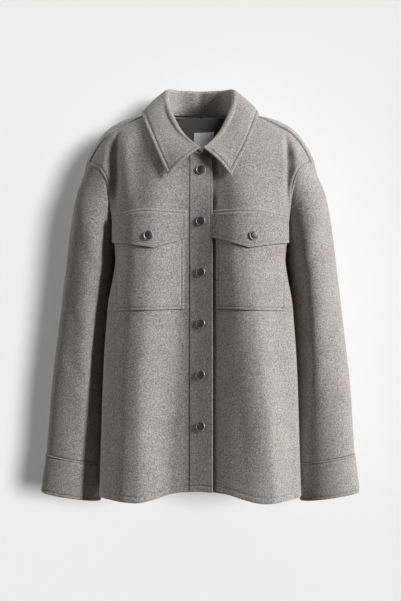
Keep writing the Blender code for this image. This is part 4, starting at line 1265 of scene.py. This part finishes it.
def panel_tree():
    """Search tree over the outer faces of the body panels and the band, facing outward."""
    share = np.linspace(0.0, 1.0, 49)[:, None]
    rows = np.linspace(0.0, TOP_ROW, 97)[None, :]
    grids = [(band_face()[::4, ::2], 1)]
    for side in SIDES.values():
        grids.append((front_point(share, rows, side), side))
        grids.append((back_point(share, rows, side), -side))
    points = []
    faces = []
    for grid, turn in grids:
        first = len(points)
        columns, count = grid.shape[:2]
        points.extend(Vector(p) for p in grid.reshape(-1, 3))
        for i in range(columns - 1):
            for j in range(count - 1):
                a = first + i * count + j
                corners = (a, a + count, a + count + 1, a + 1)
                faces.append(corners if turn > 0 else corners[::-1])
    return BVHTree.FromPolygons(points, faces)


def push_out(tree, place, lift):
    """Move a point out until it is clear of the panels."""
    for _ in range(4):
        near, normal = tree.find_nearest(place)[:2]
        height = (place - near).dot(normal)
        if height >= lift:
            break
        place = place + normal * (lift - height)
    return place


def collar_column(t, tree):
    """Points across the collar from the neck seam over the fold to the edge, on the +X half."""
    fold = Vector(at(FOLD, t))
    along = Vector(at(FOLD, min(t + 0.01, 1.0)) - at(FOLD, t - 0.01)) if t > 0.0 else Vector((1.0, 0.0, 0.0))
    along.normalize()
    turn = math.pi * (0.5 - t)
    out = Vector((math.cos(turn), math.sin(turn), 0.0))
    out = (out - along * out.dot(along)).normalized()
    up = out.cross(along)
    if up.z < 0.0:
        up = -up
    seam = Vector(at(NECK, t))
    lift = (fold - seam).normalized()
    column = [seam - out * COLLAR_CLOTH + lift * (SEAM_GAP * 2.0)]
    # The fold is pressed flatter towards the front ends
    radius = FOLD_RADIUS * (1.0 - PRESS * float(smooth(*PRESS_FADE, t)))
    centre = fold - up * radius
    edge = Vector(at(COLLAR_EDGE, t))
    # The roll ends where it points along the fall
    fall = edge - fold
    roll_end = math.pi / 2.0 - math.atan2(-fall.dot(up), fall.dot(out))
    roll_end = min(max(roll_end, 0.0), ROLL_LIMIT) * (1.0 - float(smooth(*ROLL_FADE, t)))
    turned = []
    for k in range(7):
        angle = math.pi + (roll_end - math.pi) * k / 6.0
        spoke = out * math.cos(angle) + up * math.sin(angle)
        turned.append(centre + spoke * radius)
    column.append(column[0].lerp(turned[0], 0.5))
    column.extend(turned)
    for k in range(1, 6):
        share = k / 5.0
        place = turned[-1].lerp(edge, share) + out * (COLLAR_BULGE * math.sin(math.pi * share))
        column.append(push_out(tree, place, COLLAR_CLOTH + COLLAR_LIFT))
    return column


def leaned(column, t):
    """A column of the collar with the lean of the front ends."""
    amount = COLLAR_LEAN * float(smooth(0.75, 1.0, t))
    first = len(column) - 6
    moved = []
    for k, place in enumerate(column):
        share = max(k - first, 0) / 5.0
        moved.append(place + Vector((amount * (1.0 - 2.0 * share), 0.0, 0.0)))
    return moved


def collar_face():
    """Dense visible points of the collar, from the right front end round the back to the left front end."""
    tree = panel_tree()
    steps = [0.0625 * k for k in range(8)] + [0.5 + 0.5 * k / 6.0 for k in range(7)]
    halves = [collar_column(t, tree) for t in steps]
    plus = [leaned(column, t) for t, column in zip(steps, halves)]
    minus = []
    for t, column in zip(steps[1:], halves[1:]):
        mirrored = [push_out(tree, Vector((-p.x, p.y, p.z)), 0.0) for p in column]
        minus.append(leaned(mirrored, t))
    control = np.array([[tuple(p) for p in column] for column in minus[::-1] + plus])
    across_steps = np.array([-t for t in steps[:0:-1]] + steps)
    count, rows = control.shape[:2]
    fine = curve(across_steps, control.reshape(count, -1), np.linspace(-1.0, 1.0, 301)).reshape(301, rows, 3)
    face = []
    for column in fine:
        lengths = np.concatenate([[0.0], np.cumsum(np.linalg.norm(np.diff(column, axis=0), axis=-1))])
        face.append(curve(lengths, column, np.linspace(0.0, lengths[-1], 201)))
    return np.stack(face)


class JACKET_OT_collar(bpy.types.Operator):
    """Make the folded collar, stitched along its edges"""
    bl_idname = "jacket.collar"
    bl_label = "Collar"

    def execute(self, context):
        sizes = context.scene.jacket_sizes
        face = resample(collar_face(), edge_lines(COLLAR_STITCHES), edge_lines(COLLAR_STITCHES), 150)
        face = resample_rows(face, edge_lines(), edge_lines(COLLAR_STITCHES), 64)
        normals = grid_normals(face, 1)
        from_right, from_left, from_seam, from_edge = edge_distances(face)
        around = np.minimum.reduce([from_edge, from_right, from_left])
        rim = np.minimum(around, from_seam)
        relief = stitched(around, COLLAR_STITCHES, EDGE_PUFF * 1.4, GROOVE_DEPTH * 1.3)
        relief = relief * smooth(*COLLAR_SEWN, from_seam)
        outer, inner = skins(face, normals, COLLAR_CLOTH, rim, relief)
        cloth_piece("wool_collar", "collar", [(outer, inner, 1)], "wool")
        edge = nearest_line(from_edge[60], COLLAR_STITCHES[0])
        right = nearest_line(from_right[:, 60], COLLAR_STITCHES[0])
        left = nearest_line(from_left[:, 60], COLLAR_STITCHES[0])
        fall = nearest_line(from_seam[right], COLLAR_FALL)
        places = (np.s_[right:left + 1, edge], np.s_[right, fall:edge], np.s_[left, fall:edge])
        thread_piece("stitches_collar", stitch_rows(outer, normals, *places), sizes)
        return {"FINISHED"}


def patch_face(side, inner_x, outer_x, bottom, top, lift):
    """Dense points over a front, between heights that depend on the share across.

    The lift depends on the distances below the top and in from the other edges.
    """
    share = np.sin(math.pi / 2.0 * np.linspace(0.0, 1.0, 130)) ** 1.1
    reach = np.broadcast_to(share[:, None], (130, 90))
    way = np.broadcast_to(np.linspace(0.0, 1.0, 90)[None, :], (130, 90))
    x = inner_x + (outer_x - inner_x) * reach
    low, high = bottom(reach), top(reach)
    z = low + (high - low) * way
    surface = partial(front_point, side=side)
    u, v = locate(surface, side * x, z)
    normals = surface_normal(surface, u, v, side)
    inward = np.minimum.reduce([x - inner_x, outer_x - x, z - low])
    return surface(u, v) + normals * lift(high - z, inward)[..., None]


def pocket_lift(drop, inward):
    """Height of a pocket over the front: sewn down at its edges."""
    return REST_GAP + POCKET_CLOTH + (POCKET_GAP - REST_GAP) * smooth(0.0, POCKET_SEWN, inward)


class JACKET_OT_pockets(bpy.types.Operator):
    """Make both patch pockets, stitched along the sides and the bottom"""
    bl_idname = "jacket.pockets"
    bl_label = "Pockets"

    def execute(self, context):
        sizes = context.scene.jacket_sizes
        for name, side in SIDES.items():
            dense = patch_face(
                side, POCKET_IN, POCKET_OUT, lambda r: at(POCKET_BOTTOM, r),
                lambda r: at(FLAP_TOP, r) - POCKET_MOUTH_DROP,
                pocket_lift,
            )
            face = resample(dense, edge_lines(POCKET_STITCHES), edge_lines(POCKET_STITCHES), 40)
            face = resample_rows(face, edge_lines(POCKET_STITCHES), edge_lines(), 56)
            normals = grid_normals(face, side)
            from_in, from_out, from_low, from_mouth = edge_distances(face)
            around = np.minimum.reduce([from_in, from_out, from_low])
            relief = stitched(around, POCKET_STITCHES, EDGE_PUFF * 0.4, GROOVE_DEPTH * 0.8)
            outer, inner = skins(face, normals, POCKET_CLOTH, np.minimum(around, from_mouth), relief)
            cloth_piece("wool_pocket_" + name, "pocket_" + name, [(outer, inner, side)], "wool")
            low = nearest_line(from_low[20], POCKET_STITCHES[0])
            near = nearest_line(from_in[:, 20], POCKET_STITCHES[0])
            far = nearest_line(from_out[:, 20], POCKET_STITCHES[0])
            places = (np.s_[near:far + 1, low], np.s_[near, low:], np.s_[far, low:])
            thread_piece("stitches_pocket_" + name, stitch_rows(outer, normals, *places), sizes)
        return {"FINISHED"}


def flap_bottom(reach):
    """Height of the pointed lower edge of a flap."""
    return np.interp(reach, [row[0] for row in FLAP_BOTTOM], [row[1] for row in FLAP_BOTTOM])


def flap_lift(drop, inward):
    """Height of a flap over the front: sewn down at its top, over the pocket below."""
    low = REST_GAP * 2.0
    over = POCKET_GAP + POCKET_CLOTH + FLAP_GAP
    return low + (over - low) * smooth(0.0, FLAP_SEWN, drop) + FLAP_CLOTH


class JACKET_OT_flaps(bpy.types.Operator):
    """Make both pointed flaps, stitched all round"""
    bl_idname = "jacket.flaps"
    bl_label = "Flaps"

    def execute(self, context):
        sizes = context.scene.jacket_sizes
        for name, side in SIDES.items():
            dense = patch_face(side, FLAP_IN, FLAP_OUT, flap_bottom, lambda r: at(FLAP_TOP, r), flap_lift)
            face = resample(dense, edge_lines(FLAP_STITCHES), edge_lines(FLAP_STITCHES), 64)
            face = resample_rows(face, edge_lines(FLAP_STITCHES), edge_lines(FLAP_TOP_STITCHES), 18)
            normals = grid_normals(face, side)
            from_in, from_out, from_low, from_top = edge_distances(face)
            around = np.minimum.reduce([from_in, from_out, from_low])
            relief = stitched(around, FLAP_STITCHES, EDGE_PUFF, GROOVE_DEPTH / 2.0)
            top_relief = stitched(from_top, FLAP_TOP_STITCHES, EDGE_PUFF * 2.0, GROOVE_DEPTH * 1.5)
            top_relief = np.where(from_top < around, top_relief, np.minimum(top_relief, 0.0))
            relief = np.minimum(relief, 0.0) + top_relief
            outer, inner = skins(face, normals, FLAP_CLOTH, np.minimum(around, from_top), relief)
            cloth_piece("wool_flap_" + name, "flap_" + name, [(outer, inner, side)], "wool")
            low = nearest_line(from_low[30], FLAP_STITCHES[0])
            near = nearest_line(from_in[:, 20], FLAP_STITCHES[0])
            far = nearest_line(from_out[:, 20], FLAP_STITCHES[0])
            top = nearest_line(from_top[30], FLAP_TOP_STITCHES[0])
            places = (np.s_[near:far + 1, low], np.s_[near, low:top], np.s_[far, low:top], np.s_[2:-2, top])
            lines = stitch_rows(outer, normals, *places)
            lines.append(snap_bar(outer, normals, side * FLAP_SNAP_X, FLAP_SNAP_Z))
            thread_piece("stitches_flap_" + name, lines, sizes)
        return {"FINISHED"}


class JACKET_OT_neck_facings(bpy.types.Operator):
    """Make the two dark facings inside the back neck"""
    bl_idname = "jacket.neck_facings"
    bl_label = "Neck facings"

    def execute(self, context):
        sizes = context.scene.jacket_sizes
        share = np.linspace(0.0, 1.0, 60)[:, None]
        way = 0.02 + 0.98 * np.linspace(0.0, 1.0, 60)[None, :]
        neck_row = BACK_NECK_ROW + 3.0 * share
        low_row = 15.0 + 6.0 * share ** 1.6
        u = 0.34 * np.sin(math.pi / 2.0 * share) * way
        v = neck_row + (low_row - neck_row) * way
        for name, side in SIDES.items():
            surface = partial(back_point, side=side)
            normals = surface_normal(surface, np.maximum(u, 0.01), v, -side)
            normals[0, :, 0] = 0.0
            dense = surface(u, v) - unit(normals) * (sizes.cloth + FACING_GAP + FACING_CLOTH)
            dense[0, :, 0] = side * FACING_SEAM
            dense[..., 2] += FACING_RISE * (1.0 - smooth(0.0, 0.3, way))
            outer, inner = plain_skins(dense, (24, 30), side, FACING_CLOTH)
            cloth_piece("facing_cloth_" + name, "facing_" + name, [(outer, inner, side)], "facing")
        return {"FINISHED"}


class JACKET_OT_label(bpy.types.Operator):
    """Make the bare label on the facings"""
    bl_idname = "jacket.label"
    bl_label = "Neck label"

    def execute(self, context):
        sizes = context.scene.jacket_sizes
        across_label = LABEL_X + np.linspace(-LABEL_HALF_WIDTH, LABEL_HALF_WIDTH, 41)[:, None]
        x = np.broadcast_to(across_label, (41, 41))
        z = LABEL_TOP - LABEL_LENGTH * np.linspace(0.0, 1.0, 41)[None, :] + LABEL_TILT * (x - LABEL_X)
        surface = partial(back_point, side=1)
        u, v = locate(surface, np.maximum(np.abs(x), 0.0005), z, 0.1, 17.5)
        base = surface(u, v)
        normals = surface_normal(surface, np.maximum(u, 0.02), v, -1)
        normals[..., 0] = normals[..., 0] * np.sign(x)
        depth = sizes.cloth + FACING_GAP + REST_GAP + FACING_CLOTH + LABEL_CLOTH
        dense = point(x, base[..., 1], z) - unit(normals) * depth
        outer, inner = plain_skins(dense, (22, 22), 1, LABEL_CLOTH)
        cloth_piece("label_cloth", "neck_label", [(outer, inner, 1)], "label")
        return {"FINISHED"}


def snap_piece(node, place, axis):
    """Ringed snap cap turned about its axis."""
    builder = bmesh.new()
    chain = [builder.verts.new((radius, 0.0, height)) for radius, height in SNAP_PROFILE]
    edges = [builder.edges.new(pair) for pair in zip(chain, chain[1:])]
    bmesh.ops.spin(
        builder, geom=chain + edges, cent=(0.0, 0.0, 0.0), axis=(0.0, 0.0, 1.0),
        angle=2.0 * math.pi, steps=SNAP_STEPS, use_merge=True,
    )
    bmesh.ops.remove_doubles(builder, verts=builder.verts, dist=MERGE_DISTANCE)
    bmesh.ops.recalc_face_normals(builder, faces=builder.faces)
    for face in builder.faces:
        middle = face.calc_center_median()
        face.material_index = 1 if math.hypot(middle.x, middle.y) < SNAP_FACE_RADIUS else 0
    turn = Vector((0.0, 0.0, 1.0)).rotation_difference(axis).to_matrix().to_4x4()
    bmesh.ops.transform(builder, matrix=Matrix.Translation(place) @ turn, verts=builder.verts)
    piece = finish_piece(builder, "metal_" + node, finish_material("snap_ring"), (node,))
    piece.data.materials.append(finish_material("snap_face"))


class JACKET_OT_snaps(bpy.types.Operator):
    """Make the six snaps of the band and one on each flap"""
    bl_idname = "jacket.snaps"
    bl_label = "Snaps"

    def execute(self, context):
        for k in range(SNAP_COUNT):
            z = SNAP_TOP + SNAP_STEP * k
            axis = Vector(band_axis(SNAP_X, z))
            place = Vector(band_point(SNAP_X, z)) + axis * (BAND_PROUD + SEAM_GAP)
            snap_piece("snap_%d" % (k + 1), place, axis)
        lift = POCKET_GAP + POCKET_CLOTH + FLAP_GAP + FLAP_CLOTH + SEAM_GAP
        for name, side in SIDES.items():
            surface = partial(front_point, side=side)
            u, v = locate(surface, np.array([side * FLAP_SNAP_X]), np.array([FLAP_SNAP_Z]), 0.5, 12.0)
            axis = Vector(surface_normal(surface, u, v, side)[0])
            snap_piece("flap_snap_" + name, Vector(surface(u, v)[0]) + axis * lift, axis)
        return {"FINISHED"}


def stage_finish(pale):
    """Pale matt finish that is clear from behind."""
    graph = Graph("stage_pale")
    grain = graph.noise(40.0, 2.0, 0.5)
    graph.set(graph.shader, {
        "Base Color": graph.ramp(grain, ((0.0, shade(pale, 0.995)), (1.0, pale))),
        "Roughness": 0.9,
        "Specular IOR Level": 0.0,
    })
    clear = graph.node("ShaderNodeBsdfTransparent").outputs["BSDF"]
    behind = graph.node("ShaderNodeNewGeometry").outputs["Backfacing"]
    sockets = {0: behind, 1: graph.shader.outputs["BSDF"], 2: clear}
    mixed = graph.node("ShaderNodeMixShader", None, sockets)
    graph.set(graph.tree.nodes["Material Output"], {"Surface": mixed.outputs["Shader"]})
    return graph.material


def stage_plane(scene, name, matrix, material):
    """Wide plane that throws no shadow."""
    builder = bmesh.new()
    bmesh.ops.create_grid(builder, x_segments=2, y_segments=2, size=STAGE_HALF, matrix=matrix)
    mesh = bpy.data.meshes.new(name)
    builder.to_mesh(mesh)
    builder.free()
    mesh.materials.append(material)
    plane = bpy.data.objects.new(name, mesh)
    plane.visible_shadow = False
    plane.visible_diffuse = name == "stage_wall"
    scene.collection.objects.link(plane)


def light_group(name, pieces):
    """Collection of pieces for a light."""
    group = bpy.data.collections.new(name)
    for piece in pieces:
        group.objects.link(bpy.data.objects[piece])
    return group


def add_sun(scene, name, strength, elevation, azimuth, softness, receivers):
    """Wide light from one direction, on all pieces or on those of a collection."""
    sun = bpy.data.lights.new(name, "SUN")
    sun.energy = strength
    sun.angle = softness
    sun.use_shadow = name != "even"
    lamp = bpy.data.objects.new(name, sun)
    lamp.rotation_euler = (math.pi / 2.0 - elevation, 0.0, azimuth)
    if receivers:
        lamp.light_linking.receiver_collection = receivers
    scene.collection.objects.link(lamp)


def add_camera(scene):
    """Level camera that frames the jacket as in the photo."""
    lens = bpy.data.cameras.new("camera")
    lens.sensor_fit = "VERTICAL"
    lens.angle = 2.0 * math.atan(IMAGE_HEIGHT * PIXEL_SIZE / 2.0 / CAMERA_DISTANCE)
    camera = bpy.data.objects.new("camera", lens)
    camera.location = (0.0, -CAMERA_DISTANCE, CAMERA_HEIGHT)
    camera.rotation_euler = (math.pi / 2.0, 0.0, 0.0)
    scene.collection.objects.link(camera)
    scene.camera = camera


class JACKET_OT_stage(bpy.types.Operator):
    """Make the pale floor and backdrop, the soft light and the camera"""
    bl_idname = "jacket.stage"
    bl_label = "Stage"

    def execute(self, context):
        scene = context.scene
        light = scene.jacket_light
        material = stage_finish(tuple(scene.jacket_colours.backdrop))
        floor = Matrix.Translation((0.0, 0.0, FLOOR_HEIGHT))
        wall = Matrix.Translation((0.0, WALL_DEPTH, 0.0)) @ Matrix.Rotation(math.pi / 2.0, 4, "X")
        for name, matrix in zip(STAGE_PLANES, (floor, wall)):
            stage_plane(scene, name, matrix, material)
        stage_only = light_group("stage_only", STAGE_PLANES)
        near_sleeve = light_group("near_sleeve", NEAR_SLEEVE)
        in_neck = light_group("in_neck", IN_NECK)
        jacket_only = light_group("jacket_only", STAGE_PLANES + NEAR_SLEEVE)
        for item in jacket_only.collection_objects:
            item.light_linking.link_state = "EXCLUDE"
        high, soft = light.key_elevation, light.softness
        backdrop = (
            light.backdrop_strength, light.backdrop_elevation,
            light.backdrop_azimuth, light.backdrop_softness,
        )
        add_sun(scene, "key", light.key_strength, high, light.key_azimuth, soft, jacket_only)
        near = (light.near_strength, high, light.near_azimuth, light.near_softness)
        add_sun(scene, "near", *near, near_sleeve)
        add_sun(scene, "backdrop", *backdrop, stage_only)
        add_sun(scene, "behind", light.behind_strength, high, math.pi, soft, None)
        add_sun(scene, "neck", light.neck_strength, high, light.neck_azimuth, soft, in_neck)
        add_sun(scene, "side", light.side_strength, high, light.side_azimuth, soft, jacket_only)
        add_sun(scene, "even", light.even_strength, 0.0, 0.0, soft, stage_only)
        world = bpy.data.worlds.new("fill")
        world.use_nodes = True
        world.node_tree.nodes["Background"].inputs["Color"].default_value = (1.0, 1.0, 1.0, 1.0)
        world.node_tree.nodes["Background"].inputs["Strength"].default_value = light.fill_strength
        scene.world = world
        scene.view_settings.view_transform = "Standard"
        add_camera(scene)
        return {"FINISHED"}


def length_value(name, text, value, low, high):
    """Property that holds a length."""
    return bpy.props.FloatProperty(
        name=name, description=text, default=value, min=low, max=high, subtype="DISTANCE", unit="LENGTH")


def colour_value(name, text, value):
    """Property that holds a colour."""
    return bpy.props.FloatVectorProperty(
        name=name, description=text, default=value, min=0.0, max=1.0, size=3, subtype="COLOR")


def angle_value(name, text, degrees):
    """Property that holds an angle."""
    return bpy.props.FloatProperty(
        name=name, description=text, default=math.radians(degrees), subtype="ANGLE", unit="ROTATION")


def strength_value(name, text, value):
    """Property that holds a light's strength."""
    return bpy.props.FloatProperty(name=name, description=text, default=value, min=0.0)


class JacketSizes(bpy.types.PropertyGroup):
    """Cloth and stitch sizes"""

    cloth: length_value("Cloth", "Thickness of the wool", 0.0022, 0.001, 0.004)
    cuff_cloth: length_value("Cuff cloth", "Thickness of a doubled cuff", 0.0032, 0.001, 0.005)
    stitch_pitch: length_value("Stitch pitch", "Distance from one stitch to the next", 0.0036, 0.002, 0.008)
    stitch_width: length_value("Stitch width", "Thickness of the thread", 0.0008, 0.0003, 0.002)


class JacketColours(bpy.types.PropertyGroup):
    """Colours of the cloth, the metal and the stage"""

    wool: colour_value("Wool", "Middle colour of the melange wool", (0.345, 0.323, 0.302))
    thread: colour_value("Thread", "Colour of the stitches", (0.31, 0.29, 0.27))
    facing: colour_value("Facing", "Colour of the neck facings", (0.090, 0.085, 0.082))
    label: colour_value("Label", "Colour of the bare label", (0.88, 0.86, 0.82))
    snap_ring: colour_value("Snap ring", "Colour of a snap's bright ring", (0.46, 0.45, 0.44))
    snap_face: colour_value("Snap face", "Colour of a snap's dark face", (0.12, 0.12, 0.125))
    backdrop: colour_value("Backdrop", "Colour of the floor and the backdrop", (0.84, 0.84, 0.84))


class JacketLight(bpy.types.PropertyGroup):
    """Soft studio light"""

    key_azimuth: angle_value("Key azimuth", "How far the main light stands to the right", 65.0)
    key_elevation: angle_value("Key elevation", "How high the main light stands", 20.0)
    key_strength: strength_value("Key strength", "Strength of the main light", 4.6)
    softness: angle_value("Softness", "How wide the main light is", 22.0)
    near_azimuth: angle_value("Near azimuth", "How far the shaded sleeve's light stands to the right", 41.0)
    near_strength: strength_value("Near strength", "Strength of the shaded sleeve's light", 2.8)
    near_softness: angle_value("Near softness", "How wide the shaded sleeve's light is", 8.0)
    backdrop_azimuth: angle_value("Backdrop azimuth", "How far that light stands to the right", 23.0)
    backdrop_elevation: angle_value("Backdrop elevation", "How high the backdrop's light stands", 4.0)
    backdrop_strength: strength_value("Backdrop strength", "Strength of the backdrop's light", 2.60)
    backdrop_softness: angle_value("Backdrop softness", "How wide the backdrop's light is", 14.0)
    even_strength: strength_value("Even strength", "Strength of the light on the backdrop's shadow", 0.52)
    side_azimuth: angle_value("Side azimuth", "How far the weak side light stands to the right", -74.0)
    side_strength: strength_value("Side strength", "Strength of the weak side light", 0.60)
    behind_strength: strength_value("Behind strength", "Strength of the light from behind", 1.0)
    neck_strength: strength_value("Neck strength", "Strength of the light into the neck", 2.2)
    neck_azimuth: angle_value("Neck azimuth", "How far the neck's light stands to the right", 27.0)
    fill_strength: strength_value("Fill strength", "Strength of the light from all round", 0.085)


OPERATORS = (
    JACKET_OT_fronts, JACKET_OT_back, JACKET_OT_sleeves, JACKET_OT_cuffs, JACKET_OT_band, JACKET_OT_collar,
    JACKET_OT_pockets, JACKET_OT_flaps, JACKET_OT_neck_facings, JACKET_OT_label, JACKET_OT_snaps,
    JACKET_OT_stage,
)


class JACKET_PT_panel(bpy.types.Panel):
    """Lists the jacket's values and pieces"""
    bl_label = "Jacket"
    bl_idname = "JACKET_PT_panel"
    bl_space_type = "VIEW_3D"
    bl_region_type = "UI"
    bl_category = "Jacket"

    def draw(self, context):
        layout = self.layout
        for group in (context.scene.jacket_sizes, context.scene.jacket_colours, context.scene.jacket_light):
            box = layout.box()
            for key in group.__annotations__:
                box.prop(group, key)
        for operator in OPERATORS:
            layout.operator(operator.bl_idname)


GROUPS = {"jacket_sizes": JacketSizes, "jacket_colours": JacketColours, "jacket_light": JacketLight}
CLASSES = (*GROUPS.values(), *OPERATORS, JACKET_PT_panel)


def register():
    """Add the classes and the values of a scene."""
    for item in CLASSES:
        bpy.utils.register_class(item)
    for name, group in GROUPS.items():
        setattr(bpy.types.Scene, name, bpy.props.PointerProperty(type=group))


def unregister():
    """Take them away again."""
    for name in GROUPS:
        delattr(bpy.types.Scene, name)
    for item in reversed(CLASSES):
        bpy.utils.unregister_class(item)


def main():
    """Make every piece in order."""
    register()
    bpy.ops.jacket.fronts()
    bpy.ops.jacket.back()
    bpy.ops.jacket.sleeves()
    bpy.ops.jacket.cuffs()
    bpy.ops.jacket.band()
    bpy.ops.jacket.collar()
    bpy.ops.jacket.pockets()
    bpy.ops.jacket.flaps()
    bpy.ops.jacket.neck_facings()
    bpy.ops.jacket.label()
    bpy.ops.jacket.snaps()
    bpy.ops.jacket.stage()


if __name__ == "__main__":
    main()
